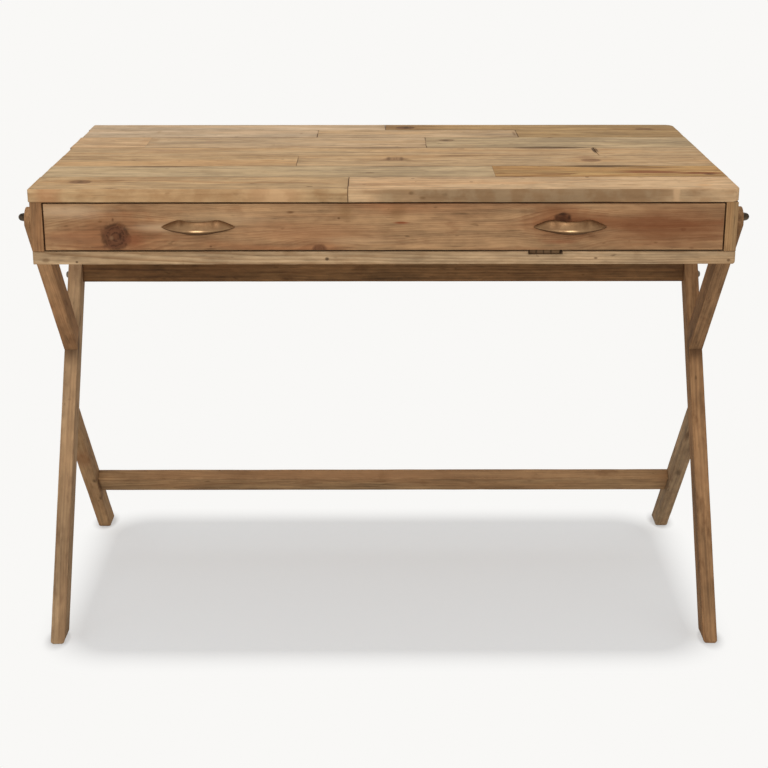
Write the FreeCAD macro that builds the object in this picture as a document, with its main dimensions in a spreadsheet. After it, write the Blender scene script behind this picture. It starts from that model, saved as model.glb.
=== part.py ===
import FreeCAD, Part
import os

import Sketcher
from FreeCAD import Vector

# Driving dimensions, in millimetres and degrees
SIZES = [
    ("desk_height", 770, "floor to the upper face of the top boards"),
    ("top_width", 1060, "top boards, left end to right end"),
    ("top_thick", 20, "top boards, upper face to lower face"),
    ("top_overhang", 2, "top boards past the case on every side"),
    ("left_corner_radius", 4, "worn corners of the top on the left, in plan"),
    ("right_corner_radius", 16, "rounded corners of the top on the right, in plan"),
    ("row_1_depth", 98, "front row of top boards, front to back"),
    ("row_2_depth", 90, "second row"),
    ("row_3_depth", 93, "third row"),
    ("row_4_depth", 77, "fourth row"),
    ("row_5_depth", 103, "fifth row"),
    ("row_6_depth", 79, "sixth row"),
    ("row_7_depth", 60, "rear row"),
    ("row_1_joint", -54, "butt joint in the front row, from the middle of the desk"),
    ("row_2_joint", 172, "butt joint in the second row"),
    ("row_3_joint", -140, "butt joint in the third row"),
    ("row_4_right_board", 175, "length of the right board in the fourth row"),
    ("row_5_left_board", 126, "length of the left board in the fifth row"),
    ("row_5_joint", 73, "right butt joint in the fifth row"),
    ("row_6_left_joint", -116, "left butt joint in the sixth row"),
    ("row_6_right_joint", 237, "right butt joint in the sixth row"),
    ("row_7_joint", 4, "butt joint in the rear row"),
    ("side_thick", 18, "side panels of the case"),
    ("side_height", 75, "side panels, bottom frame to top boards"),
    ("stile_depth", 22, "stiles at the front of the side panels, front to back"),
    ("back_thick", 18, "back panel of the case"),
    ("rail_height", 20, "bottom frame, lower face to upper face"),
    ("rail_depth", 60, "front and rear rails, front to back"),
    ("runner_width", 45, "drawer runners of the bottom frame"),
    ("notch_centre", 242, "old mortise in the front rail, from the middle of the desk"),
    ("notch_length", 52, "old mortise, along the rail"),
    ("notch_height", 4.5, "old mortise, down from the upper face"),
    ("notch_depth", 9, "old mortise, in from the front face"),
    ("kicker_thick", 12, "kickers and batten under the top boards"),
    ("kicker_width", 40, "kickers and batten, across the desk"),
    ("drawer_reveal", 2.2, "gap round the drawer front"),
    ("drawer_front_thick", 20, "drawer front"),
    ("drawer_side_thick", 12, "drawer sides and drawer back"),
    ("drawer_back_gap", 58, "room behind the closed drawer"),
    ("drawer_travel", 380, "closed drawer to the pull-out stops"),
    ("run_clearance", 0.3, "drawer sides above the runners"),
    ("kicker_gap", 2.4, "drawer sides below the kickers"),
    ("bottom_lift", 8, "drawer bottom above the lower edge of the drawer sides"),
    ("bottom_thick", 5, "drawer bottom"),
    ("groove_depth", 5, "grooves that hold the drawer bottom"),
    ("muntin_width", 40, "muntin under the drawer bottom"),
    ("muntin_thick", 6, "muntin under the drawer bottom"),
    ("stop_clearance", 0.3, "drawer from its stops, closed and pulled out"),
    ("stop_thick", 18, "stops, front to back"),
    ("closing_stop_length", 40, "closing stops, along the front rail"),
    ("closing_stop_height", 6, "closing stops above the front rail"),
    ("closing_stop_spacing", 600, "closing stops, middle to middle"),
    ("pull_out_stop_width", 16, "pull-out stops, across the desk"),
    ("pull_out_stop_drop", 14, "pull-out stops below the kickers"),
    ("pull_spacing", 556, "bow pulls, middle to middle"),
    ("pull_length", 110, "bow pull, tip to tip"),
    ("pull_projection", 26, "bow pull, out from the drawer front"),
    ("pull_gap_length", 50, "finger gap behind a bow pull, along the drawer"),
    ("pull_gap_depth", 13, "finger gap behind a bow pull, out from the drawer front"),
    ("pull_shoulder_spacing", 62, "widest places of a bow pull, apart along the drawer"),
    ("pull_shoulder_height", 22, "bow pull at its widest places"),
    ("pull_middle_height", 20, "bow pull in the middle"),
    ("pull_leaf_bow", 1.5, "bulge of the leaf edges from tip to shoulder"),
    ("pull_screw_spacing", 82, "screws of one bow pull, apart"),
    ("pull_screw_radius", 2, "shank of a pull screw"),
    ("pull_screw_bite", 8, "pull screw into the bow pull"),
    ("pull_screw_head_radius", 4.5, "head of a pull screw"),
    ("pull_screw_head_height", 2.5, "head of a pull screw"),
    ("leg_thick", 23.5, "legs and struts, across the desk"),
    ("long_leg_width", 38, "long leg, square to its length"),
    ("front_strut_width", 38, "front strut, square to its length"),
    ("front_strut_rise", 13, "rounded upper end of a front strut, beyond its bolt"),
    ("rear_strut_width", 35, "rear strut, square to its length"),
    ("long_leg_angle", 32.2, "long leg from upright, top to the rear"),
    ("front_strut_angle", 42, "front strut from upright, top to the front"),
    ("rear_strut_angle", 41.6, "rear strut from upright, top to the front"),
    ("bolt_drop", 59, "case bolts below the upper face of the top"),
    ("front_bolt_setback", 80, "front case bolts from the front edge of the top"),
    ("rear_bolt_setback", 89, "rear case bolts from the rear edge of the top"),
    ("rear_foot_setback", 39, "middle of the rear foot from the rear edge of the top"),
    ("upper_stretcher_drop", 109, "middle of the upper stretcher below the bottom frame"),
    ("upper_stretcher_height", 40, "upper stretcher, lower face to upper face"),
    ("upper_stretcher_thick", 20, "upper stretcher, front to back"),
    ("lower_stretcher_reach", 173, "middle of the lower stretcher from the floor, along the rear strut"),
    ("lower_stretcher_width", 46, "lower stretcher, along the rear strut"),
    ("lower_stretcher_thick", 20, "lower stretcher, square to the rear strut"),
    ("lower_stretcher_inset", 11, "lower stretcher behind the front of the rear strut"),
    ("case_bolt_radius", 4, "shank of a case bolt"),
    ("case_bolt_head_radius", 7.5, "dome head of a case bolt"),
    ("case_bolt_head_height", 11, "dome head of a case bolt"),
    ("insert_radius", 6.5, "threaded insert in the side panel"),
    ("insert_length", 14, "threaded insert in the side panel"),
    ("stretcher_bolt_radius", 3, "shank of a stretcher bolt"),
    ("stretcher_bolt_bite", 45, "stretcher bolt into the end of its stretcher"),
    ("stretcher_bolt_head_radius", 6, "dome head of a stretcher bolt"),
    ("upper_bolt_head_height", 7.5, "dome head of an upper stretcher bolt"),
    ("lower_bolt_head_height", 2.5, "dome head of a lower stretcher bolt"),
    ("upper_bolt_drop", 9, "upper stretcher bolts below the middle of their stretcher"),
    ("dowel_radius", 4, "dowels between struts and long leg"),
    ("dowel_length", 40, "dowels, half in each piece"),
    ("dowel_spacing", 15, "the two dowels of one joint, apart"),
    ("fit_clearance", 0.2, "bolts, screws and dowels in their holes, all round"),
]

doc = FreeCAD.newDocument("campaign_desk")
sheet = doc.addObject("Spreadsheet::Sheet", "sizes")
for line, (alias, size, note) in enumerate(SIZES, start=1):
    sheet.set(f"A{line}", note)
    sheet.set(f"B{line}", str(size))
    sheet.setAlias(f"B{line}", alias)
doc.recompute()

# Places that several pieces share: X to the right, Y to the rear, Z up from the floor
ROW_DEPTHS = [f"sizes.row_{row}_depth" for row in range(1, 8)]
TOP_DEPTH = "(" + " + ".join(ROW_DEPTHS) + ")"
HALF_TOP = "(sizes.top_width / 2)"
HALF_CASE = f"({HALF_TOP} - sizes.top_overhang)"
HALF_OPENING = f"({HALF_CASE} - sizes.side_thick)"
LEG_FACE = f"({HALF_CASE} + sizes.leg_thick)"
CASE_FRONT = f"(-({TOP_DEPTH} - sizes.top_overhang - sizes.pull_projection) / 2)"
TOP_FRONT = f"({CASE_FRONT} - sizes.top_overhang)"
TOP_BACK = f"({TOP_FRONT} + {TOP_DEPTH})"
CASE_BACK = f"({TOP_BACK} - sizes.top_overhang)"
TOP_UNDER = "(sizes.desk_height - sizes.top_thick)"
SIDE_FOOT = f"({TOP_UNDER} - sizes.side_height)"
RAIL_FOOT = f"({SIDE_FOOT} - sizes.rail_height)"
KICKER_UNDER = f"({TOP_UNDER} - sizes.kicker_thick)"
FRONT_INSIDE = f"({CASE_FRONT} + sizes.drawer_front_thick)"
DRAWER_HALF = f"({HALF_OPENING} - sizes.drawer_reveal)"
DRAWER_INSIDE = f"({DRAWER_HALF} - sizes.drawer_side_thick)"
DRAWER_END = f"({CASE_BACK} - sizes.back_thick - sizes.drawer_back_gap)"
DRAWER_FOOT = f"({SIDE_FOOT} + sizes.run_clearance)"
DRAWER_RIM = f"({KICKER_UNDER} - sizes.kicker_gap)"
BOTTOM_UNDER = f"({DRAWER_FOOT} + sizes.bottom_lift)"
BOTTOM_OVER = f"({BOTTOM_UNDER} + sizes.bottom_thick)"
PULL_LEVEL = f"(({SIDE_FOOT} + {TOP_UNDER}) / 2)"
BOLT_LEVEL = "(sizes.desk_height - sizes.bolt_drop)"
STRETCHER_LEVEL = f"({RAIL_FOOT} - sizes.upper_stretcher_drop)"
FRONT_BOLT = f"({TOP_FRONT} + sizes.front_bolt_setback)"
REAR_BOLT = f"({TOP_BACK} - sizes.rear_bolt_setback)"
REAR_FOOT = f"({TOP_BACK} - sizes.rear_foot_setback)"
PULL_SCREW_HOLE = "(sizes.pull_screw_radius + sizes.fit_clearance)"
STRETCHER_BOLT_HOLE = "(sizes.stretcher_bolt_radius + sizes.fit_clearance)"

# A bolt or screw head is three times as high as the straight rim under its dome
HEAD_TO_RIM = 3
SIDES = (("left", -1), ("right", 1))

pieces = []


def number(expression):
    """What an expression comes to with the sizes in the sheet."""
    return float(sheet.evalExpression(expression))


def keep(piece, label):
    """Names a finished piece of the desk."""
    piece.Label = label
    pieces.append(piece)
    return piece


def place(piece, x, y, z, axis="0; 0; 1", angle="0"):
    """Puts a piece's own origin at a point, turned about an axis."""
    turn = f"rotation(vector({axis}); {angle})"
    piece.setExpression("Placement", f"placement(vector({x}; {y}; {z}); {turn})")


def block(name, x, y, z):
    """A square-cut piece of wood, given by its low and high place along each axis."""
    box = doc.addObject("Part::Box", name)
    box.setExpression("Length", f"{x[1]} - ({x[0]})")
    box.setExpression("Width", f"{y[1]} - ({y[0]})")
    box.setExpression("Height", f"{z[1]} - ({z[0]})")
    place(box, x[0], y[0], z[0])
    return box


def rod(name, radius, length):
    """A round bar along Z from its own origin."""
    bar = doc.addObject("Part::Cylinder", name)
    bar.setExpression("Radius", radius)
    bar.setExpression("Height", length)
    return bar


def cut(name, base, tools):
    """The base with the room of the tools taken out."""
    room = doc.addObject("Part::Compound", f"{name}_room")
    room.Links = tools
    result = doc.addObject("Part::Cut", name)
    result.Base = base
    result.Tool = room
    return result


def group(label, members):
    """Identical small pieces that share one node."""
    together = doc.addObject("Part::Compound", f"{label}_group")
    together.Links = members
    return keep(together, label)


def outline(body, role, corners, holes):
    """A closed sketch. A corner with four values is the start of an arc through its last two."""
    sketch = body.newObject("Sketcher::SketchObject", f"{body.Name}_outline")
    plane = [feature for feature in body.Origin.OriginFeatures if feature.Role == role][0]
    sketch.AttachmentSupport = (plane, [""])
    sketch.MapMode = "FlatFace"

    def pin(geometry, position, x, y):
        for kind, expression in (("DistanceX", x), ("DistanceY", y)):
            rule = Sketcher.Constraint(kind, -1, 1, geometry, position, number(expression))
            index = sketch.addConstraint(rule)
            sketch.setExpression(f"Constraints[{index}]", expression)

    points = [Vector(number(corner[0]), number(corner[1]), 0) for corner in corners]
    ends = []
    bows = []
    for index, corner in enumerate(corners):
        start = points[index]
        finish = points[(index + 1) % len(points)]
        if len(corner) == 2:
            ends.append((sketch.addGeometry(Part.LineSegment(start, finish), False), 1, 2))
            continue
        bow = Vector(number(corner[2]), number(corner[3]), 0)
        forward = (bow - start).cross(finish - bow).z > 0
        arc = Part.Arc(start, bow, finish) if forward else Part.Arc(finish, bow, start)
        ends.append((sketch.addGeometry(arc, False), 1 if forward else 2, 2 if forward else 1))
        bows.append((ends[-1][0], bow, corner[2], corner[3]))
    for index, (side, first, last) in enumerate(ends):
        following = ends[(index + 1) % len(ends)]
        sketch.addConstraint(Sketcher.Constraint("Coincident", side, last, following[0], following[1]))
        pin(side, first, corners[index][0], corners[index][1])
    for side, bow, x, y in bows:
        mark = sketch.addGeometry(Part.Point(bow), True)
        sketch.addConstraint(Sketcher.Constraint("PointOnObject", mark, 1, side))
        pin(mark, 1, x, y)
    for x, y, radius in holes:
        circle = Part.Circle(Vector(number(x), number(y), 0), Vector(0, 0, 1), number(radius))
        hole = sketch.addGeometry(circle, False)
        pin(hole, 3, x, y)
        index = sketch.addConstraint(Sketcher.Constraint("Radius", hole, number(radius)))
        sketch.setExpression(f"Constraints[{index}]", radius)
    return sketch


def sawn(name, role, corners, thick, holes=()):
    """A piece sawn to an outline from wood of one thickness."""
    body = doc.addObject("PartDesign::Body", name)
    pad = body.newObject("PartDesign::Pad", f"{name}_pad")
    pad.Profile = outline(body, role, corners, holes)
    pad.setExpression("Length", thick)
    return body


def turned(name, corners):
    """A round piece about its own Z axis, from half its section."""
    body = doc.addObject("PartDesign::Body", name)
    spin = body.newObject("PartDesign::Revolution", f"{name}_turning")
    section = outline(body, "XZ_Plane", corners, ())
    spin.Profile = section
    spin.ReferenceAxis = (section, ["V_Axis"])
    spin.Angle = 360
    return body


def dome_bolt(name, shank, length, head_radius, head_height):
    """A bolt whose head stands up from its own origin and whose shank runs down."""
    rim = f"({head_height} / {HEAD_TO_RIM})"
    rise = f"({head_height} - {rim})"
    ball = f"(({head_radius} ^ 2 + {rise} ^ 2) / (2 * {rise}))"
    half = f"({head_radius} / 2)"
    bow = f"({head_height} - {ball} + sqrt({ball} ^ 2 - {half} ^ 2))"
    section = [
        ("0", f"-({length})"),
        (shank, f"-({length})"),
        (shank, "0"),
        (head_radius, "0"),
        (head_radius, rim, half, bow),
        ("0", head_height),
    ]
    return turned(name, section)


def along(origin, angle, across, up):
    """The Y and Z of a point on a leaning piece, from the place of its own origin."""
    y = f"({origin[0]} + ({across}) * cos({angle}) - ({up}) * sin({angle}))"
    z = f"({origin[1]} + ({across}) * sin({angle}) + ({up}) * cos({angle}))"
    return y, z


def corner_board(name, outer, inner, edge, joint, radius):
    """A top board whose corner at the outer end and free edge is rounded in plan."""
    in_x = 1 if number(inner) > number(outer) else -1
    in_y = 1 if number(joint) > number(edge) else -1
    bow = f"{radius} * (1 - cos(45))"
    bow_x = f"({outer} + {in_x} * {bow})"
    bow_y = f"({edge} + {in_y} * {bow})"
    corners = [
        (outer, f"({edge} + {in_y} * {radius})", bow_x, bow_y),
        (f"({outer} + {in_x} * {radius})", edge),
        (inner, edge),
        (inner, joint),
        (outer, joint),
    ]
    board = sawn(name, "XY_Plane", corners, "sizes.top_thick")
    place(board, "0", "0", TOP_UNDER)
    return board


def top_boards():
    """Seven rows of reclaimed boards with staggered butt joints."""
    joints = [
        ["sizes.row_1_joint"],
        ["sizes.row_2_joint"],
        ["sizes.row_3_joint"],
        [f"({HALF_TOP} - sizes.row_4_right_board)"],
        [f"(sizes.row_5_left_board - {HALF_TOP})", "sizes.row_5_joint"],
        ["sizes.row_6_left_joint", "sizes.row_6_right_joint"],
        ["sizes.row_7_joint"],
    ]
    front = TOP_FRONT
    for row, (depth, cuts) in enumerate(zip(ROW_DEPTHS, joints), start=1):
        ends = [f"(-{HALF_TOP})", *cuts, HALF_TOP]
        places = ["left", "right"] if len(cuts) == 1 else ["left", "middle", "right"]
        back = f"({front} + {depth})"
        for side, start, finish in zip(places, ends, ends[1:]):
            name = f"row_{row}_{side}"
            edges = (front, back) if row == 1 else (back, front)
            if row not in (1, len(ROW_DEPTHS)):
                board = block(name, (start, finish), (front, back), (TOP_UNDER, "sizes.desk_height"))
            elif side == "left":
                board = corner_board(name, start, finish, *edges, "sizes.left_corner_radius")
            else:
                board = corner_board(name, finish, start, *edges, "sizes.right_corner_radius")
            keep(board, f"top_board_{row}_{side}")
        front = back


def bottom_frame():
    """Rails and runners that the sides stand on and the drawer runs on."""
    level = (RAIL_FOOT, SIDE_FOOT)
    width = (f"-{HALF_CASE}", HALF_CASE)
    behind_rail = f"({CASE_FRONT} + sizes.rail_depth)"
    before_rail = f"({CASE_BACK} - sizes.rail_depth)"
    rail = block("front_rail_blank", width, (CASE_FRONT, behind_rail), level)
    notch = block(
        "old_mortise",
        ("sizes.notch_centre - sizes.notch_length / 2", "sizes.notch_centre + sizes.notch_length / 2"),
        (CASE_FRONT, f"{CASE_FRONT} + sizes.notch_depth"),
        (f"{SIDE_FOOT} - sizes.notch_height", SIDE_FOOT),
    )
    keep(cut("front_rail_cut", rail, [notch]), "front_rail")
    keep(block("rear_rail_blank", width, (before_rail, CASE_BACK), level), "rear_rail")
    for side, sign in SIDES:
        inner = f"({HALF_CASE} - sizes.runner_width)"
        reach = (inner, HALF_CASE) if sign > 0 else (f"-{HALF_CASE}", f"-{inner}")
        keep(block(f"{side}_runner_blank", reach, (behind_rail, before_rail), level), f"{side}_runner")


def case_walls():
    """Stiles, side panels with holes for the threaded inserts, the back panel, kickers and batten."""
    level = (SIDE_FOOT, TOP_UNDER)
    kicker_level = (KICKER_UNDER, TOP_UNDER)
    behind_stile = f"({CASE_FRONT} + sizes.stile_depth)"
    panel_front = f"({CASE_BACK} - sizes.back_thick)"
    kicker_reach = (f"{FRONT_INSIDE} + sizes.drawer_reveal", panel_front)
    for side, sign in SIDES:
        reach = (HALF_OPENING, HALF_CASE) if sign > 0 else (f"-{HALF_CASE}", f"-{HALF_OPENING}")
        keep(block(f"{side}_stile_blank", reach, (CASE_FRONT, behind_stile), level), f"{side}_stile")
        panel = block(f"{side}_panel_blank", reach, (behind_stile, CASE_BACK), level)
        holes = []
        for end, bolt in (("front", FRONT_BOLT), ("rear", REAR_BOLT)):
            hole = rod(f"{side}_{end}_insert_hole", "sizes.insert_radius", "sizes.insert_length")
            place(hole, f"{sign} * {HALF_CASE}", bolt, BOLT_LEVEL, "0; 1; 0", f"{-sign} * 90")
            holes.append(hole)
        keep(cut(f"{side}_panel_cut", panel, holes), f"{side}_side_panel")
        inner = f"({HALF_OPENING} - sizes.kicker_width)"
        reach = (inner, HALF_OPENING) if sign > 0 else (f"-{HALF_OPENING}", f"-{inner}")
        keep(block(f"{side}_kicker_blank", reach, kicker_reach, kicker_level), f"{side}_kicker")
    width = (f"-{HALF_OPENING}", HALF_OPENING)
    keep(block("back_panel_blank", width, (panel_front, CASE_BACK), level), "back_panel")
    half_batten = "(sizes.kicker_width / 2)"
    batten = block("batten_blank", (f"-{half_batten}", half_batten), kicker_reach, kicker_level)
    keep(batten, "top_batten")


def drawer_stops():
    """Blocks that stop the drawer: on the front rail when closed, under the kickers when pulled out."""
    closing = []
    pull_out = []
    stop_front = f"({FRONT_INSIDE} + sizes.stop_clearance)"
    catch = f"({DRAWER_END} - sizes.drawer_side_thick - sizes.drawer_travel - sizes.stop_clearance)"
    half_stop = "sizes.closing_stop_length / 2"
    for side, sign in SIDES:
        middle = f"({sign} * sizes.closing_stop_spacing / 2)"
        closing.append(
            block(
                f"{side}_closing_stop",
                (f"({middle} - {half_stop})", f"({middle} + {half_stop})"),
                (stop_front, f"({stop_front} + sizes.stop_thick)"),
                (SIDE_FOOT, f"({SIDE_FOOT} + sizes.closing_stop_height)"),
            )
        )
        near = f"({HALF_OPENING} - sizes.kicker_width)"
        far = f"({near} + sizes.pull_out_stop_width)"
        pull_out.append(
            block(
                f"{side}_pull_out_stop",
                (near, far) if sign > 0 else (f"-{far}", f"-{near}"),
                (f"({catch} - sizes.stop_thick)", catch),
                (f"({KICKER_UNDER} - sizes.pull_out_stop_drop)", KICKER_UNDER),
            )
        )
    group("closing_stops", closing)
    group("pull_out_stops", pull_out)


def pull_screw_places():
    """The X of each pull screw, two to a pull."""
    for side, pull in SIDES:
        for end, sign in SIDES:
            x = f"({pull} * sizes.pull_spacing / 2 + {sign} * sizes.pull_screw_spacing / 2)"
            yield f"{side}_{end}", x


def drawer_box():
    """The drawer: inset front, grooved sides, back, bottom and muntin."""
    front = block(
        "drawer_front_blank",
        (f"-{DRAWER_HALF}", DRAWER_HALF),
        (CASE_FRONT, FRONT_INSIDE),
        (f"({SIDE_FOOT} + sizes.drawer_reveal)", f"({TOP_UNDER} - sizes.drawer_reveal)"),
    )
    groove_half = f"({DRAWER_INSIDE} + sizes.groove_depth)"
    groove_front = f"({FRONT_INSIDE} - sizes.groove_depth)"
    bottom_level = (BOTTOM_UNDER, BOTTOM_OVER)
    panel_room = ((f"-{groove_half}", groove_half), (groove_front, DRAWER_END), bottom_level)
    room = [block("front_groove", *panel_room)]
    for place_name, x in pull_screw_places():
        hole = rod(f"{place_name}_front_hole", PULL_SCREW_HOLE, "sizes.drawer_front_thick")
        place(hole, x, FRONT_INSIDE, PULL_LEVEL, "1; 0; 0", "90")
        room.append(hole)
    keep(cut("drawer_front_cut", front, room), "drawer_front")
    side_reach = (FRONT_INSIDE, DRAWER_END)
    for side, sign in SIDES:
        reach = (DRAWER_INSIDE, DRAWER_HALF) if sign > 0 else (f"-{DRAWER_HALF}", f"-{DRAWER_INSIDE}")
        board = block(f"drawer_{side}_blank", reach, side_reach, (DRAWER_FOOT, DRAWER_RIM))
        groove = block(f"drawer_{side}_groove", *panel_room)
        keep(cut(f"drawer_{side}_cut", board, [groove]), f"drawer_{side}_side")
    back_reach = (f"({DRAWER_END} - sizes.drawer_side_thick)", DRAWER_END)
    inside = (f"-{DRAWER_INSIDE}", DRAWER_INSIDE)
    keep(block("drawer_back_blank", inside, back_reach, (BOTTOM_OVER, DRAWER_RIM)), "drawer_back")
    keep(block("drawer_bottom_blank", *panel_room), "drawer_bottom")
    half_muntin = "(sizes.muntin_width / 2)"
    muntin_level = (f"({BOTTOM_UNDER} - sizes.muntin_thick)", BOTTOM_UNDER)
    muntin = block("muntin_blank", (f"-{half_muntin}", half_muntin), side_reach, muntin_level)
    keep(muntin, "drawer_muntin")


def bow_pulls():
    """Cast pulls: a bow in plan with leaf-shaped ends, and the screws that hold them."""
    tip = "(sizes.pull_length / 2)"
    gap = "(sizes.pull_gap_length / 2)"
    shoulder = "(sizes.pull_shoulder_spacing / 2)"
    high = "(sizes.pull_shoulder_height / 2)"
    middle = "(sizes.pull_middle_height / 2)"
    leaf_x = f"(({tip} + {shoulder}) / 2)"
    leaf_y = f"({high} / 2 + sizes.pull_leaf_bow)"
    bow = [
        (f"-{tip}", "0", "0", "-sizes.pull_projection"),
        (tip, "0"),
        (gap, "0", "0", "-sizes.pull_gap_depth"),
        (f"-{gap}", "0"),
    ]
    leaf = [
        (f"-{tip}", "0", f"-{leaf_x}", f"-{leaf_y}"),
        (f"-{shoulder}", f"-{high}", "0", f"-{middle}"),
        (shoulder, f"-{high}", leaf_x, f"-{leaf_y}"),
        (tip, "0", leaf_x, leaf_y),
        (shoulder, high, "0", middle),
        (f"-{shoulder}", high, f"-{leaf_x}", leaf_y),
    ]
    for side, sign in SIDES:
        x = f"{sign} * sizes.pull_spacing / 2"
        plan = sawn(f"{side}_pull_plan", "XY_Plane", bow, "sizes.pull_shoulder_height")
        place(plan, x, CASE_FRONT, f"({PULL_LEVEL} - {high})")
        face = sawn(f"{side}_pull_face", "XZ_Plane", leaf, "sizes.pull_projection")
        place(face, x, CASE_FRONT, PULL_LEVEL)
        casting = doc.addObject("Part::Common", f"{side}_pull_casting")
        casting.Base = plan
        casting.Tool = face
        holes = []
        for end, way in SIDES:
            hole = rod(f"{side}_pull_{end}_hole", PULL_SCREW_HOLE, "sizes.pull_screw_bite")
            hole_x = f"({x} + {way} * sizes.pull_screw_spacing / 2)"
            place(hole, hole_x, CASE_FRONT, PULL_LEVEL, "1; 0; 0", "90")
            holes.append(hole)
        keep(cut(f"{side}_pull_cut", casting, holes), f"{side}_pull")
    reach = "(sizes.drawer_front_thick + sizes.pull_screw_bite)"
    screws = []
    for place_name, screw_x in pull_screw_places():
        screw = dome_bolt(
            f"{place_name}_pull_screw",
            "sizes.pull_screw_radius",
            f"{reach} - sizes.fit_clearance",
            "sizes.pull_screw_head_radius",
            "sizes.pull_screw_head_height",
        )
        place(screw, screw_x, FRONT_INSIDE, PULL_LEVEL, "1; 0; 0", "-90")
        screws.append(screw)
    group("pull_screws", screws)


def strut_joint(foot, angle, strut_offset, leg_side):
    """How far along its own length a strut's edge meets the front or rear face of the long leg."""
    lean = "sizes.long_leg_angle"
    half_leg = f"(sizes.long_leg_width / 2 / cos({lean}))"
    face = f"({REAR_BOLT} + {leg_side} * {half_leg} - {BOLT_LEVEL} * tan({lean}))"
    edge = f"({foot[0]} + ({strut_offset}) / cos({angle}) + {foot[1]} * tan({angle}))"
    level = f"(({edge} - {face}) / (tan({lean}) + tan({angle})))"
    return f"(({level} - {foot[1]} - ({strut_offset}) * sin({angle})) / cos({angle}))"


# Each strut's own origin, its lean, and the side of the long leg that it meets
FRONT_STRUT = ((FRONT_BOLT, BOLT_LEVEL), "sizes.front_strut_angle", -1)
REAR_STRUT = ((REAR_FOOT, "0"), "sizes.rear_strut_angle", 1)
STRETCHER_FACE = "(-sizes.rear_strut_width / 2 + sizes.lower_stretcher_inset)"
STRETCHER_MIDDLE = f"({STRETCHER_FACE} + sizes.lower_stretcher_thick / 2)"


def strut_dowels(name, x, strut, radius):
    """Two round bars across the joint of a strut and the long leg, along the strut."""
    origin, angle, leg_side = strut
    bars = []
    for end, sign in SIDES:
        across = f"({sign} * sizes.dowel_spacing / 2)"
        meeting = strut_joint(origin, angle, across, leg_side)
        bar = rod(f"{name}_{end}_dowel", radius, "sizes.dowel_length")
        y, z = along(origin, angle, across, f"{meeting} - sizes.dowel_length / 2")
        place(bar, x, y, z, "1; 0; 0", angle)
        bars.append(bar)
    return bars


def side_frames():
    """On each side a long leg with a front strut butted on its front and a rear strut on its rear."""
    lean = "sizes.long_leg_angle"
    half_leg = "(sizes.long_leg_width / 2)"
    half_front = "(sizes.front_strut_width / 2)"
    half_rear = "(sizes.rear_strut_width / 2)"
    leg_length = f"({BOLT_LEVEL} / cos({lean}))"
    stretcher_up = f"(-({BOLT_LEVEL} - {STRETCHER_LEVEL}) / cos({lean}))"
    stretcher_hole = (
        f"sizes.upper_bolt_drop * sin({lean})",
        f"{stretcher_up} - sizes.upper_bolt_drop * cos({lean})",
        STRETCHER_BOLT_HOLE,
    )
    bolt_hole = ("0", "0", "sizes.case_bolt_radius + sizes.fit_clearance")
    leg = [
        (half_leg, "0", "0", half_leg),
        (f"-{half_leg}", "0"),
        (f"-{half_leg}", f"-{leg_length} - {half_leg} * tan({lean})"),
        (half_leg, f"-{leg_length} + {half_leg} * tan({lean})"),
    ]
    origin, angle, leg_side = FRONT_STRUT
    front_strut = [
        (half_front, "0", "0", "sizes.front_strut_rise"),
        (f"-{half_front}", "0"),
        (f"-{half_front}", strut_joint(origin, angle, f"-{half_front}", leg_side)),
        (half_front, strut_joint(origin, angle, half_front, leg_side)),
    ]
    origin, angle, leg_side = REAR_STRUT
    rear_strut = [
        (f"-{half_rear}", f"{half_rear} * tan({angle})"),
        (half_rear, f"-{half_rear} * tan({angle})"),
        (half_rear, strut_joint(origin, angle, half_rear, leg_side)),
        (f"-{half_rear}", strut_joint(origin, angle, f"-{half_rear}", leg_side)),
    ]
    leg_holes = [bolt_hole, stretcher_hole]
    rear_holes = [(STRETCHER_MIDDLE, "sizes.lower_stretcher_reach", STRETCHER_BOLT_HOLE)]
    thick = "sizes.leg_thick"
    loose = "sizes.dowel_radius + sizes.fit_clearance"
    dowels = []
    for side, sign in SIDES:
        x = HALF_CASE if sign > 0 else f"(-{LEG_FACE})"
        middle = f"({x} + sizes.leg_thick / 2)"
        leg_blank = sawn(f"{side}_leg_blank", "YZ_Plane", leg, thick, leg_holes)
        place(leg_blank, x, REAR_BOLT, BOLT_LEVEL, "1; 0; 0", f"-{lean}")
        front_blank = sawn(f"{side}_front_strut_blank", "YZ_Plane", front_strut, thick, [bolt_hole])
        place(front_blank, x, *FRONT_STRUT[0], "1; 0; 0", FRONT_STRUT[1])
        rear_blank = sawn(f"{side}_rear_strut_blank", "YZ_Plane", rear_strut, thick, rear_holes)
        place(rear_blank, x, *REAR_STRUT[0], "1; 0; 0", REAR_STRUT[1])
        leg_room = strut_dowels(f"{side}_leg_upper", middle, FRONT_STRUT, loose)
        leg_room += strut_dowels(f"{side}_leg_lower", middle, REAR_STRUT, loose)
        keep(cut(f"{side}_leg_cut", leg_blank, leg_room), f"{side}_long_leg")
        front_room = strut_dowels(f"{side}_front_strut", middle, FRONT_STRUT, loose)
        keep(cut(f"{side}_front_strut_cut", front_blank, front_room), f"{side}_front_strut")
        rear_room = strut_dowels(f"{side}_rear_strut", middle, REAR_STRUT, loose)
        keep(cut(f"{side}_rear_strut_cut", rear_blank, rear_room), f"{side}_rear_strut")
        dowels += strut_dowels(f"{side}_upper_joint", middle, FRONT_STRUT, "sizes.dowel_radius")
        dowels += strut_dowels(f"{side}_lower_joint", middle, REAR_STRUT, "sizes.dowel_radius")
    group("strut_dowels", dowels)


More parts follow.
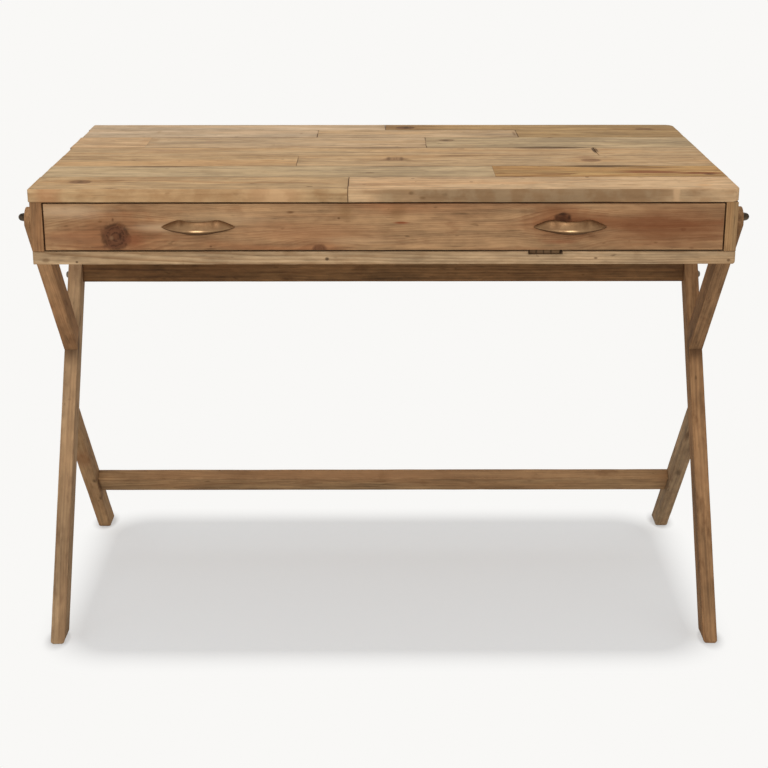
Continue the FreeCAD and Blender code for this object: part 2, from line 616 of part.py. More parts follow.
def stretchers():
    """Cross bars between the side frames, with a bolt into each end."""
    width = (f"-{HALF_CASE}", HALF_CASE)
    half_thick = "(sizes.upper_stretcher_thick / 2)"
    half_height = "(sizes.upper_stretcher_height / 2)"
    upper_y = f"({REAR_BOLT} - ({BOLT_LEVEL} - {STRETCHER_LEVEL}) * tan(sizes.long_leg_angle))"
    upper = block(
        "upper_stretcher_blank",
        width,
        (f"({upper_y} - {half_thick})", f"({upper_y} + {half_thick})"),
        (f"({STRETCHER_LEVEL} - {half_height})", f"({STRETCHER_LEVEL} + {half_height})"),
    )
    origin, angle, leg_side = REAR_STRUT
    lower_edge = "sizes.lower_stretcher_reach - sizes.lower_stretcher_width / 2"
    lower = doc.addObject("Part::Box", "lower_stretcher_blank")
    lower.setExpression("Length", f"2 * {HALF_CASE}")
    lower.setExpression("Width", "sizes.lower_stretcher_thick")
    lower.setExpression("Height", "sizes.lower_stretcher_width")
    corner = along(origin, angle, STRETCHER_FACE, lower_edge)
    place(lower, width[0], *corner, "1; 0; 0", angle)
    lower_middle = along(origin, angle, STRETCHER_MIDDLE, "sizes.lower_stretcher_reach")
    bolts = []
    upper_place = (upper_y, f"({STRETCHER_LEVEL} - sizes.upper_bolt_drop)")
    for name, bar, middle in (("upper", upper, upper_place), ("lower", lower, lower_middle)):
        room = []
        for side, sign in SIDES:
            hole_depth = "sizes.stretcher_bolt_bite + sizes.fit_clearance"
            hole = rod(f"{side}_{name}_end_hole", STRETCHER_BOLT_HOLE, hole_depth)
            place(hole, f"{sign} * {HALF_CASE}", *middle, "0; 1; 0", f"{-sign} * 90")
            room.append(hole)
            bolt = dome_bolt(
                f"{side}_{name}_stretcher_bolt",
                "sizes.stretcher_bolt_radius",
                "sizes.leg_thick + sizes.stretcher_bolt_bite",
                "sizes.stretcher_bolt_head_radius",
                f"sizes.{name}_bolt_head_height",
            )
            place(bolt, f"{sign} * {LEG_FACE}", *middle, "0; 1; 0", f"{sign} * 90")
            bolts.append(bolt)
        keep(cut(f"{name}_stretcher_cut", bar, room), f"{name}_stretcher")
    group("stretcher_bolts", bolts)


def case_bolts():
    """Dome bolts through the frame tops into threaded inserts in the side panels."""
    bolts = []
    inserts = []
    bore = "sizes.case_bolt_radius + sizes.fit_clearance"
    sleeve = [
        (bore, "0"),
        ("sizes.insert_radius", "0"),
        ("sizes.insert_radius", "sizes.insert_length"),
        (bore, "sizes.insert_length"),
    ]
    for side, sign in SIDES:
        for end, y in (("front", FRONT_BOLT), ("rear", REAR_BOLT)):
            bolt = dome_bolt(
                f"{side}_{end}_case_bolt",
                "sizes.case_bolt_radius",
                "sizes.leg_thick + sizes.insert_length",
                "sizes.case_bolt_head_radius",
                "sizes.case_bolt_head_height",
            )
            place(bolt, f"{sign} * {LEG_FACE}", y, BOLT_LEVEL, "0; 1; 0", f"{sign} * 90")
            bolts.append(bolt)
            insert = turned(f"{side}_{end}_insert", sleeve)
            place(insert, f"{sign} * {HALF_CASE}", y, BOLT_LEVEL, "0; 1; 0", f"{-sign} * 90")
            inserts.append(insert)
    group("case_bolts", bolts)
    group("case_inserts", inserts)


top_boards()
bottom_frame()
case_walls()
drawer_stops()
drawer_box()
bow_pulls()
side_frames()
stretchers()
case_bolts()
doc.recompute()

for item in doc.Objects:
    if "Invalid" in item.State or "Error" in item.State:
        raise RuntimeError(f"{item.Label} failed: {item.State}")
for piece in pieces:
    if piece.Shape.isNull() or not piece.Shape.isValid() or not piece.Shape.Solids:
        raise RuntimeError(f"{piece.Label} has no valid solid")

os.makedirs("parts", exist_ok=True)
for piece in pieces:
    piece.Shape.exportStep(f"parts/{piece.Label}.step")
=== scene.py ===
from itertools import product
from math import cos, pi, radians, sin, sqrt, tan

import bmesh
import bpy
from mathutils import Matrix, Vector, noise


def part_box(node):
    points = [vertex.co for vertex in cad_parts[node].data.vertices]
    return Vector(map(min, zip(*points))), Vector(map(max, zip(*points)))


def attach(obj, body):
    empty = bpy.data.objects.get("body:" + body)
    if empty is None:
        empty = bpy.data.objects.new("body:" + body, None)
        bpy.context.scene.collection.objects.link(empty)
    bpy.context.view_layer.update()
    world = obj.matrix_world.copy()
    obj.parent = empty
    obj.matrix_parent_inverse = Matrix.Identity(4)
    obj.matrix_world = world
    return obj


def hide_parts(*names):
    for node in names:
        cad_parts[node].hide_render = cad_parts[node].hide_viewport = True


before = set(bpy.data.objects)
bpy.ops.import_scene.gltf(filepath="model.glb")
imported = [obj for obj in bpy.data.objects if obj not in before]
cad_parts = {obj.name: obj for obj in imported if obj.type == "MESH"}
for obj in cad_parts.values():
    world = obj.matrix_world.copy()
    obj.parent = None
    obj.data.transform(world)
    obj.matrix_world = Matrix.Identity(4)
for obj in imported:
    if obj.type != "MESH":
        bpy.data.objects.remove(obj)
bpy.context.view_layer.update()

scene = bpy.context.scene
scene.view_settings.view_transform = "Standard"

RIGHT = Vector((1, 0, 0))
REAR = Vector((0, 1, 0))
UP = Vector((0, 0, 1))
TOP_FRONT = -0.288
TOP_LEVEL = 0.77
CASE_FRONT = -0.286


def paint(code):
    """A colour written as six hex digits, in linear light."""
    shares = [int(code[place:place + 2], 16) / 255 for place in (0, 2, 4)]
    linear = [share / 12.92 if share <= 0.04045 else ((share + 0.055) / 1.055) ** 2.4 for share in shares]
    return (*linear, 1.0)


# Nodes and groups


def feed(tree, socket, value):
    """Joins a socket to another one, or sets its value."""
    if isinstance(value, bpy.types.NodeSocket):
        tree.links.new(value, socket)
    else:
        socket.default_value = value


def add(tree, kind, inputs=None, **settings):
    """A node with its settings, and its inputs set or joined."""
    made = tree.nodes.new(kind)
    for name, value in settings.items():
        setattr(made, name, value)
    for name, value in (inputs or {}).items():
        feed(tree, made.inputs[name], value)
    return made


def join(kind, inputs, **settings):
    """A node in the tree of the sockets that feed it."""
    fed = [value for value in inputs.values() if isinstance(value, bpy.types.NodeSocket)]
    return add(fed[0].id_data, kind, inputs, **settings)


def calc(operation, *values, clamp=False):
    """A sum on single values."""
    inputs = dict(enumerate(values))
    return join("ShaderNodeMath", inputs, operation=operation, use_clamp=clamp).outputs[0]


def times(first, second):
    """One value times another."""
    return calc("MULTIPLY", first, second)


def plus(base, mask, share):
    """A value with a share of a mask added to it."""
    return calc("MULTIPLY_ADD", mask, share, base)


def vec(operation, *values):
    """A sum on vectors."""
    made = join("ShaderNodeVectorMath", dict(enumerate(values)), operation=operation)
    return made.outputs["Value" if operation == "LENGTH" else "Vector"]


def scaled(vector, share):
    """A vector times a single value."""
    return join("ShaderNodeVectorMath", {0: vector, "Scale": share}, operation="SCALE").outputs["Vector"]


def parts_of(vector):
    """The X, Y and Z of a vector."""
    return join("ShaderNodeSeparateXYZ", {0: vector}).outputs


def smooth(value, low, high, start=0.0, finish=1.0):
    """A soft step from start to finish as the value goes from low to high."""
    inputs = {"Value": value, "From Min": low, "From Max": high, "To Min": start, "To Max": finish}
    return join("ShaderNodeMapRange", inputs, interpolation_type="SMOOTHSTEP").outputs["Result"]


def grainy(vector, scale, detail, output="Fac"):
    """Noise at a place."""
    inputs = {"Vector": vector, "Scale": scale, "Detail": detail, "Roughness": 0.55}
    return join("ShaderNodeTexNoise", inputs).outputs[output]


def mix(share, under, over):
    """One colour over another."""
    return join("ShaderNodeMix", {0: share, 6: under, 7: over}, data_type="RGBA").outputs[2]


def lay(under, over, mask, strength):
    """One colour over another where a mask shows, as far as its strength goes."""
    return mix(times(mask, strength), under, over)


def new_group(name, vectors, values, results):
    """An empty node group with named sockets."""
    group = bpy.data.node_groups.new(name, "ShaderNodeTree")
    sockets = (("INPUT", "Vector", vectors), ("INPUT", "Float", values), ("OUTPUT", "Float", results))
    for way, kind, labels in sockets:
        for label in labels:
            group.interface.new_socket(label, in_out=way, socket_type=f"NodeSocket{kind}")
    entry = group.nodes.new("NodeGroupInput").outputs
    leave = group.nodes.new("NodeGroupOutput").inputs
    return group, entry, leave


# How far a noise moves when its seed grows by one
SEED_STEP = (17.3, 9.1, 5.7)


def own_noise(entry, along, across, detail, output="Fac", place="Board"):
    """Noise that is stretched along the grain and moved by a seed."""
    stretched = vec("MULTIPLY", entry[place], (along, across, across))
    moved = vec("ADD", stretched, scaled(SEED_STEP, entry["Seed"]))
    return grainy(moved, 1.0, detail, output)


def make_growth_rings():
    """Yearly rings round a pith that runs along the board, as a solid pattern."""
    vectors, values = ("Board", "Pith", "Drift"), ("Ring Width", "Wander", "Bend", "Seed")
    group, entry, leave = new_group("growth_rings", vectors, values, ["Late"])
    slow = own_noise(entry, 3.6, 8, 2, "Color")
    sway = scaled(vec("SUBTRACT", slow, (0.5, 0.5, 0.5)), entry["Wander"])
    lean = scaled(entry["Drift"], parts_of(entry["Board"])["X"])
    from_pith = vec("SUBTRACT", entry["Board"], vec("ADD", entry["Pith"], lean))
    pushed = join("ShaderNodeCombineXYZ", {"Y": entry["Bend"]}).outputs[0]
    from_pith = vec("ADD", from_pith, vec("ADD", sway, pushed))
    radius = vec("LENGTH", vec("MULTIPLY", from_pith, (0.0, 1.0, 1.0)))
    years = calc("DIVIDE", radius, entry["Ring Width"])
    years = plus(years, own_noise(entry, 18, 120, 2), 0.35)
    years = plus(years, own_noise(entry, 0.8, 14, 1), 2.5)
    share = calc("FRACT", years)
    number = {"W": calc("FLOOR", years)}
    year = join("ShaderNodeTexWhiteNoise", number, noise_dimensions="1D").outputs["Value"]
    late = times(smooth(share, 0.1, 0.88), smooth(share, 0.9, 1.0, 1.0, 0.0))
    late = times(late, smooth(year, 0.0, 1.0, 0.3, 1.0))
    group.links.new(late, leave["Late"])
    return group


# Marks in the wood: noise along and across the grain, its detail, and where it starts and shows in full
FIBRE_MARKS = {
    "Fibre": (6, 260, 4, 0.3, 0.7),
    "Fleck": (30, 420, 1, 0.64, 0.76),
    "Cloud": (5, 22, 3, 0.3, 0.7),
    "Streak": (4.5, 130, 4, 0.5, 0.74),
    "Flush": (2.4, 26, 2, 0.46, 0.72),
    "Smudge": (22, 50, 4, 0.54, 0.74),
    "Band": (8, 45, 3, 0.3, 0.7),
    "Dash": (52, 115, 1, 0.7, 0.8),
    "Speckle": (42, 120, 4, 0.3, 0.7),
}


def make_wood_fibre():
    """Fine streaks and specks along the grain, short dark pores, broad clouds of tone and warm heartwood."""
    group, entry, leave = new_group("wood_fibre", ["Board"], ["Seed"], FIBRE_MARKS)
    for output, (along, across, detail, low, high) in FIBRE_MARKS.items():
        mark = own_noise(entry, along, across, detail)
        group.links.new(smooth(mark, low, high), leave[output])
    return group


def make_branch_knot():
    """A knot: ringed core, dark rim, warm halo along the grain, and how far it pushes the rings aside."""
    results = ("Core", "Rim", "Ring", "Halo", "Bend")
    group, entry, leave = new_group("branch_knot", ("Board", "Place"), ("Size", "Long", "Seed"), results)
    offset = vec("SUBTRACT", entry["Board"], entry["Place"])
    stretch = join("ShaderNodeCombineXYZ", {"X": entry["Long"], "Y": 1.0, "Z": 4.0}).outputs[0]
    oval = vec("DIVIDE", offset, stretch)
    wobble = smooth(own_noise(entry, 60, 60, 3), 0.25, 0.75, 0.84, 1.2)
    reach = times(calc("DIVIDE", vec("LENGTH", oval), entry["Size"]), wobble)
    drawn = vec("LENGTH", vec("MULTIPLY", oval, (0.45, 1.0, 1.0)))
    flow = calc("DIVIDE", drawn, entry["Size"])
    rim = times(smooth(reach, 0.62, 0.9), smooth(reach, 0.92, 1.15, 1.0, 0.0))
    rings = smooth(calc("FRACT", times(reach, 3.0)), 0.1, 0.95)
    broken = smooth(own_noise(entry, 260, 260, 3), 0.35, 0.6)
    made = (
        smooth(reach, 0.66, 1.12, 1.0, 0.0), times(rim, smooth(wobble, 0.94, 1.1)),
        times(rings, broken), smooth(times(flow, wobble), 0.6, 2.4, 1.0, 0.0),
        times(parts_of(offset)["Y"], smooth(flow, 0.3, 3.4, -0.88, 0.0)),
    )
    for output, socket in zip(results, made):
        group.links.new(socket, leave[output])
    return group


def make_stain_patch():
    """A soft or hard spot of any length and width, with ragged borders."""
    vectors, values = ("Board", "Place", "Reach"), ("Softness", "Ragged", "Square", "Seed")
    group, entry, leave = new_group("stain_patch", vectors, values, ["Mask"])
    offset = vec("SUBTRACT", entry["Board"], entry["Place"])
    offset = vec("DIVIDE", offset, entry["Reach"])
    sides = parts_of(vec("ABSOLUTE", offset))
    boxed = calc("MAXIMUM", sides["X"], sides["Y"])
    shapes = {0: entry["Square"], 2: vec("LENGTH", offset), 3: boxed}
    shape = join("ShaderNodeMix", shapes, data_type="FLOAT").outputs[0]
    uneven = calc("SUBTRACT", own_noise(entry, 24, 110, 3), 0.5)
    reach = plus(shape, uneven, entry["Ragged"])
    inside = calc("SUBTRACT", 1.0, entry["Softness"])
    group.links.new(smooth(reach, inside, 1.0, 1.0, 0.0), leave["Mask"])
    return group


def make_arris_wear():
    """Where hands and years have rubbed the arrises, and the dirt beside them."""
    group, entry, leave = new_group("arris_wear", ["Place"], ["Edge", "Seed"], ["Rubbed", "Dirt"])
    patchy = own_noise(entry, 34, 34, 3, place="Place")
    rubbed = times(smooth(entry["Edge"], 0.35, 0.95), smooth(patchy, 0.38, 0.62))
    group.links.new(rubbed, leave["Rubbed"])
    beside = times(smooth(entry["Edge"], 0.0, 0.4), smooth(patchy, 0.62, 0.4))
    group.links.new(beside, leave["Dirt"])
    return group


GROWTH_RINGS = make_growth_rings()
WOOD_FIBRE = make_wood_fibre()
BRANCH_KNOT = make_branch_knot()
STAIN_PATCH = make_stain_patch()
ARRIS_WEAR = make_arris_wear()


def use(group, **inputs):
    """Places a group in the tree. Input names are written with low lines for spaces."""
    named = {name.replace("_", " ").title(): value for name, value in inputs.items()}
    return join("ShaderNodeGroup", named, node_tree=group).outputs


# Finishes

# Early wood, late wood and heartwood of each board tone
TONES = {
    "straw": ("C0A17A", "9C764D", "AC8153"),
    "pale": ("C3A683", "A17D55", "B38E63"),
    "chalk": ("C7AD8E", "A4835E", "B6946F"),
    "peach": ("C8A780", "A67C54", "BA8A5D"),
    "honey": ("BF9F76", "916B45", "A97B4D"),
    "dove": ("BCA27D", "927756", "A28864"),
    "amber": ("B6915F", "835A31", "916338"),
    "umber": ("AE8E63", "7F5E38", "8F6A44"),
    "russet": ("AC8761", "7C5336", "8A5635"),
    "rail": ("B89B78", "866443", "A27F59"),
    "ash": ("B39572", "84654A", "9A7450"),
    "leg": ("A7855F", "775537", "8F6643"),
    "brown": ("A67F59", "755134", "8D613E"),
    "stile": ("9E7854", "704C2F", "865A38"),
    "toffee": ("AB8A62", "7A583A", "92683F"),
    # Leg wood darkened by painted shade, for the upper stretcher under the case
    "cross": ("8C6844", "634126", "784F2F"),
    "bare": ("C2A07A", "A17C55", "AE8459"),
}
KNOT_WOOD = paint("66402A")
KNOT_RING = paint("3E2416")
KNOT_RIM = paint("3C2314")
SEAM_DARK = paint("50371F")
# Tarnishing on the pulls, partly painted shade in the crease at the drawer and on the underside that faces
# down
TARNISH_AND_SHADE = paint("5A3E25")
# Painted highlight on the ridge of a pull, standing also for polish
POLISH_AND_HIGHLIGHT = paint("D2AE82")
# Softness of a stain that gives none
USUAL_SOFTNESS = 0.9
# Stains softer than this are round and ragged, harder ones are square
SOFT_STAIN = 0.4
# How deep a stain reaches where it gives only two sides, in millimetres
STAIN_DEPTH = 50


class Board:
    """A piece of wood in its own axes: along the grain, across it and through it."""

    def __init__(self, middle, along, across, size):
        through = along.cross(across)
        self.place = Matrix.Translation(middle) @ Matrix((along, across, through)).transposed().to_4x4()
        self.size = Vector(size)

    def local(self, point):
        """A point of the row frame in the board's axes."""
        return self.place.inverted() @ Vector(point)


def board_of(node, along, across):
    """The board that a CAD node holds, with its grain along one axis."""
    low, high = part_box(node)
    through = along.cross(across)
    size = [abs((high - low).dot(axis)) for axis in (along, across, through)]
    return Board((low + high) / 2, along, across, size)


def new_material(name):
    """A material with an empty tree, and its place socket."""
    material = bpy.data.materials.new(name)
    material.use_nodes = True
    tree = material.node_tree
    tree.nodes.clear()
    return material, tree, add(tree, "ShaderNodeTexCoord").outputs["Object"]


def marked(tree, name):
    """A value that the points of a mesh carry."""
    return add(tree, "ShaderNodeAttribute", attribute_name=name).outputs["Fac"]


def cover(tree, colour, rough, height, strength, depth, **levels):
    """Ends a tree in a surface with its colour, its roughness, its bumps and its other levels."""
    bumps = add(tree, "ShaderNodeBump", {"Height": height, "Strength": strength, "Distance": depth})
    inputs = {"Base Color": colour, "Roughness": rough, "Normal": bumps.outputs[0]}
    for name, level in levels.items():
        inputs[name.replace("_", " ")] = level
    shader = add(tree, "ShaderNodeBsdfPrincipled", inputs)
    add(tree, "ShaderNodeOutputMaterial", {"Surface": shader.outputs[0]})


def pine(
    name, board, tone, grain, ring=0.0036, wander=0.012, figure=0.6, knots=(), stains=(), seed=0.0, value=1.0,
    flush=0.5, mottle=1.0, streak=1.0,
):
    """Waxed reclaimed pine with rings round its pith, and with placed knots and stains.

    The grain gives the pith's place across and through the board in millimetres, and its drift over a metre.
    A knot gives its place, size in millimetres, length in sizes and strength. A stain gives its place, reach
    in millimetres, colour, strength and softness, where that isn't the usual one.
    """
    light, dark, heart = (paint(code) for code in TONES[tone])
    material, tree, where = new_material(name)
    inverse = board.place.inverted()
    turned = {"Vector": where, "Location": inverse.translation, "Rotation": inverse.to_euler()}
    own = join("ShaderNodeMapping", turned).outputs["Vector"]

    spots = []
    bend = 0.0
    for index, (point, size, length, strength) in enumerate(knots):
        spot = use(
            BRANCH_KNOT, board=own, place=board.local(point), size=size / 1000, long=length,
            seed=seed + index * 1.7,
        )
        spots.append((spot, strength))
        bend = calc("ADD", bend, spot["Bend"])
    pith_y, pith_z, drift_y, drift_z = (length / 1000 for length in grain)
    late = use(
        GROWTH_RINGS, board=own, pith=(0.0, pith_y, pith_z), drift=(0.0, drift_y, drift_z),
        ring_width=ring, wander=wander, bend=bend, seed=seed,
    )["Late"]
    fibre = use(WOOD_FIBRE, board=own, seed=seed)

    colour = lay(light, heart, fibre["Flush"], flush)
    figured = figure
    for spot, strength in spots:
        colour = lay(colour, heart, spot["Halo"], 0.7 * strength)
        figured = plus(figured, spot["Halo"], 0.45 * strength)
    colour = mix(calc("MULTIPLY", late, figured, clamp=True), colour, dark)
    colour = lay(colour, dark, fibre["Streak"], (0.35 + 0.35 * figure) * streak)
    colour = lay(colour, dark, fibre["Smudge"], 0.4 * mottle)
    colour = lay(colour, SEAM_DARK, fibre["Dash"], 0.45)
    shade = value
    for output, depth in (("Fibre", 0.3), ("Cloud", 0.22 * mottle), ("Band", 0.24), ("Speckle", 0.2)):
        shade = plus(shade, calc("SUBTRACT", fibre[output], 0.5), depth)
    shade = plus(shade, fibre["Fleck"], -0.26)
    colour = join("ShaderNodeHueSaturation", {"Color": colour, "Value": shade}).outputs["Color"]
    for spot, strength in spots:
        branch = lay(KNOT_WOOD, KNOT_RING, spot["Ring"], 0.85)
        colour = lay(colour, branch, spot["Core"], strength)
        colour = lay(colour, KNOT_RIM, spot["Rim"], 0.7 * strength)
    for index, (point, reach, code, strength, *soft) in enumerate(stains):
        softness = soft[0] if soft else USUAL_SOFTNESS
        hard = softness < SOFT_STAIN
        patch = use(
            STAIN_PATCH, board=own, place=board.local(point), softness=softness,
            reach=[side / 1000 for side in (*reach, STAIN_DEPTH)[:3]], ragged=0.12 if hard else 0.5,
            square=1.0 if hard else 0.0, seed=seed + index * 2.3,
        )
        colour = lay(colour, paint(code), patch["Mask"], strength)
    wear = use(ARRIS_WEAR, edge=marked(tree, "edge"), place=where, seed=seed)
    colour = lay(colour, light, wear["Rubbed"], 0.3)
    colour = lay(colour, dark, wear["Dirt"], 0.28)
    grime = smooth(fibre["Cloud"], 0.25, 0.75, 0.85, 0.15)
    colour = lay(colour, SEAM_DARK, smooth(marked(tree, "seam"), 0.05, 0.8), grime)

    rough = plus(plus(0.86, late, -0.08), fibre["Fibre"], 0.1)
    height = plus(times(late, 0.5), fibre["Fibre"], 0.6)
    height = plus(height, fibre["Fleck"], -0.6)
    for spot, _ in spots:
        height = plus(height, spot["Rim"], -0.8)
    cover(tree, colour, rough, height, 0.5, 0.0005, Specular_IOR_Level=0.2)
    return material


def cast_metal(name, light, dark, rough, scale):
    """Aged metal with a rubbed bright edge, dull hollows, tarnishing that is partly painted shade, and a
    polish where hands hold the edge that is also a painted highlight.
    """
    light, dark = paint(light), paint(dark)
    material, tree, where = new_material(name)
    blotch = grainy(where, 90.0 * scale, 4.0)
    pits = grainy(where, 700.0 * scale, 2.0)
    edge = marked(tree, "edge")
    wear = use(ARRIS_WEAR, edge=edge, place=where, seed=4.0)
    colour = mix(smooth(blotch, 0.35, 0.7), light, dark)
    # Lighter where the edge mark is high: rubbed edges, and on a pull's ridge a painted highlight
    colour = lay(colour, light, smooth(edge, 0.4, 1.0), 0.7)
    colour = lay(colour, dark, wear["Dirt"], 0.5)
    # Tarnishing where the seam mark is set, partly painted shade on a pull's crease and underside
    colour = lay(colour, TARNISH_AND_SHADE, marked(tree, "seam"), 0.8)
    # Painted highlight where the edge mark runs over one, at the middle of a pull's ridge
    colour = mix(smooth(edge, 0.9, 1.8), colour, POLISH_AND_HIGHLIGHT)
    roughness = plus(rough, calc("SUBTRACT", blotch, 0.5), 0.3)
    roughness = plus(roughness, edge, -0.1)
    cover(tree, colour, roughness, calc("ADD", blotch, pits), 0.25, 0.0003, Metallic=1.0)
    return material


# Shapes

# Loops beside an arris, in shares of its ease
LOOP_SHARES = (0.0, 0.35, 1.0, 2.4)
# Loops nearer to each other than this are made one
LOOP_MERGE = 0.00004
# Loops over a rounded corner, in shares of its radius
CORNER_SHARES = (0.12, 0.3, 0.5, 0.75, 1.0)
# How far up a leg the rounding of its foot fades out, and along a board its uneven end
TOE_REACH = 0.03
END_REACH = 0.05
# How far in from its edge a board is drawn back along an open joint
GAP_REACH = 0.004
# Depth of the dips that planing left in the faces
DIPS = 0.00025
# Distances between loops along, across and through plain boards, boards of the top, and legs
SPACING = (0.026, 0.02, 0.02)
TOP_SPACING = (0.02, 0.018, 0.02)
LEG_SPACING = (0.026, 0.0042, 0.012)


def stations(half, low_ease, high_ease, spacing, extra):
    """Places of the loops along one axis of a board, close together at its arrises."""
    marks = [-half + low_ease * share for share in LOOP_SHARES]
    marks += [half - high_ease * share for share in LOOP_SHARES]
    first = marks[len(LOOP_SHARES) - 1]
    last = marks[-1]
    count = max(1, round((last - first) / spacing))
    marks += [first + (last - first) * step / count for step in range(1, count)]
    marks += extra
    kept = []
    for mark in sorted(marks):
        if not kept or mark - kept[-1] > LOOP_MERGE:
            kept.append(mark)
    return kept


def linked(name, data):
    """A new object in the scene."""
    made = bpy.data.objects.new(name, data)
    scene.collection.objects.link(made)
    return made


def object_of(name, verts, faces, edge, material, body, slot, node, seam=None):
    """Makes a piece from its points and faces, and puts it in the place of its CAD node."""
    mesh = bpy.data.meshes.new(name)
    mesh.from_pydata([tuple(point) for point in verts], [], faces)
    mesh.attributes.new("edge", "FLOAT", "POINT").data.foreach_set("value", edge)
    if seam:
        mesh.attributes.new("seam", "FLOAT", "POINT").data.foreach_set("value", seam)
    work = bmesh.new()
    work.from_mesh(mesh)
    bmesh.ops.recalc_face_normals(work, faces=work.faces)
    for face in work.faces:
        face.smooth = True
    work.to_mesh(mesh)
    work.free()
    piece = linked(name, mesh)
    mesh.materials.append(material)
    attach(piece, body)
    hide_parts(node)


def shell_faces(marks, hollows):
    """The outer faces of a board that is cut into cells, and the number of each of their points."""
    counts = [len(mark) - 1 for mark in marks]

    def solid(cell):
        middle = []
        for axis in range(3):
            if not 0 <= cell[axis] < counts[axis]:
                return False
            middle.append((marks[axis][cell[axis]] + marks[axis][cell[axis] + 1]) / 2)
        inside = [all(a < b < c for a, b, c in zip(low, middle, high)) for low, high in hollows]
        return not any(inside)

    index = {}
    faces = []
    for cell in product(*map(range, counts)):
        if not solid(cell):
            continue
        for axis, side in product(range(3), (0, 1)):
            beyond = list(cell)
            beyond[axis] += 1 if side else -1
            if solid(beyond):
                continue
            first, second = [other for other in range(3) if other != axis]
            face = []
            for a, b in ((0, 0), (1, 0), (1, 1), (0, 1)):
                key = list(cell)
                key[axis] += side
                key[first] += a
                key[second] += b
                face.append(index.setdefault(tuple(key), len(index)))
            faces.append(face)
    return index, faces


def eased_points(
    board, eases, spacing, seed, hollows=(), corner=None, gaps=(), start=None, finish=None, ends=(0.0, 0.0),
    toe=0.0,
):
    """Points, faces and edge wear of a board with uneven worn arrises, in the row frame.

    eases holds the arris size at the low and high face along, across and through the board. The toe is the
    radius of the corners at the low end, seen square to the board's edge.
    """
    half = board.size / 2
    marks = []
    for axis in range(3):
        limits = [limit[axis] for hollow in hollows for limit in hollow]
        extra = [limit for limit in limits if abs(limit) < half[axis]]
        if corner and axis < 2:
            extra += [corner[axis] * (half[axis] - corner[2] * share) for share in CORNER_SHARES]
        marks.append(stations(half[axis], *eases[axis], spacing[axis], extra))
    index, faces = shell_faces(marks, hollows)

    verts = []
    edge = []
    drift = Vector((seed * 3.7, seed * 1.3, seed * 2.9))
    for key in index:
        point = Vector([marks[axis][key[axis]] for axis in range(3)])
        from_low = point[0] + half[0]
        from_high = half[0] - point[0]
        total = 0.0
        ease = 0.0
        for axis in range(2):
            for side, size in zip((-1, 1), eases[axis]):
                weight = 1 / (half[axis] - side * point[axis] + 0.0006) ** 3
                total += weight
                ease += weight * size
        worn = 0.5 + 0.5 * noise.noise(point * 23 + drift)
        ease = min(ease / total * (0.6 + 0.9 * worn * worn), 0.84 * min(half))
        inner = Vector([max(-half[axis] + ease, min(half[axis] - ease, point[axis])) for axis in range(3)])
        moved = point.copy()
        out = point - inner
        if out.length > 1e-9:
            dip = DIPS * (0.5 + 0.5 * noise.noise(point * 9 - drift))
            moved = inner + out.normalized() * (ease - dip)
        moved[0] += ends[0] * max(0.0, 1 - from_low / END_REACH)
        moved[0] -= ends[1] * max(0.0, 1 - from_high / END_REACH)
        for axis, side, low, high, depth in gaps:
            other = 1 - axis
            if abs(point[axis] - side * half[axis]) < GAP_REACH and low <= point[other] <= high:
                share = (point[other] - low) / (high - low)
                moved[axis] -= side * depth * sin(pi * share) ** 0.5 * (0.7 + 0.5 * worn)
        if corner:
            side_u, side_v, radius = corner
            du = side_u * moved[0] - (half[0] - radius)
            dv = side_v * moved[1] - (half[1] - radius)
            if du > 0 and dv > 0:
                factor = max(du, dv) / sqrt(du * du + dv * dv)
                moved[0] = side_u * (half[0] - radius + du * factor)
                moved[1] = side_v * (half[1] - radius + dv * factor)
        if toe:
            over = min(1.0, max(0.0, abs(moved[2]) - half[2] + toe) / toe)
            moved[0] += toe * (1 - sqrt(1 - over * over)) * max(0.0, 1 - from_low / TOE_REACH)
        if start:
            low, high = start(moved[1]), finish(moved[1])
            moved[0] = low + (moved[0] / board.size[0] + 0.5) * (high - low)
        second = sorted(half[axis] - abs(point[axis]) for axis in range(3))[1]
        edge.append(max(0.0, 1.0 - second / (max(ease, 0.0004) * 3.2)))
        verts.append(board.place @ moved)
    return verts, faces, edge


def worn_board(name, node, board, ease, seed, tone, body, slot, hollows=(), corner=None, **finish):
    """A straight board with the same arris on every edge."""
    points = eased_points(board, ((ease, ease),) * 3, SPACING, seed, hollows, corner)
    object_of(name, *points, pine(f"{name}_pine", board, tone, seed=seed, **finish), body, slot, node)


def wood_piece(node, along, across, tone, slot, ease, seed, hollows=(), name=None, **finish):
    """A straight board in the place of a CAD node. A hollow gives two of its corners."""
    board = board_of(node, along, across)
    cuts = []
    for hollow in hollows:
        sides = list(zip(*(board.local(corner) for corner in hollow)))
        cuts.append(([min(side) for side in sides], [max(side) for side in sides]))
    body = "drawer" if node.startswith("drawer") else "desk"
    worn_board(name or f"{node}_worn", node, board, ease, seed, tone, body, slot, cuts, **finish)


def bare_piece(node, along, across, ease, seed, **finish):
    """A board of bare pine that isn't seen from outside."""
    finish = {"grain": (20, -50, 30, 20), **finish}
    wood_piece(node, along, across, "bare", "inner_pine", ease, seed, **finish)


def put(marks, spot):
    """Knots or stains whose places are given in millimetres on a face."""
    return [(spot(*place), *rest) for place, *rest in marks]


# Table top

SEAM_WIDTH = 0.0017
# Arris at the outer edges of the top, at its joints and at joints without dirt
OUTER_EASE = 0.0026
JOINT_EASE = 0.00055
TIGHT_EASE = 0.0002
LAST_ROW = 7


def on_top(x, y, down=0):
    """A point on the top, from the middle, from the front edge and from the upper face, in millimetres."""
    return (x / 1000, TOP_FRONT + y / 1000, TOP_LEVEL - down / 1000)


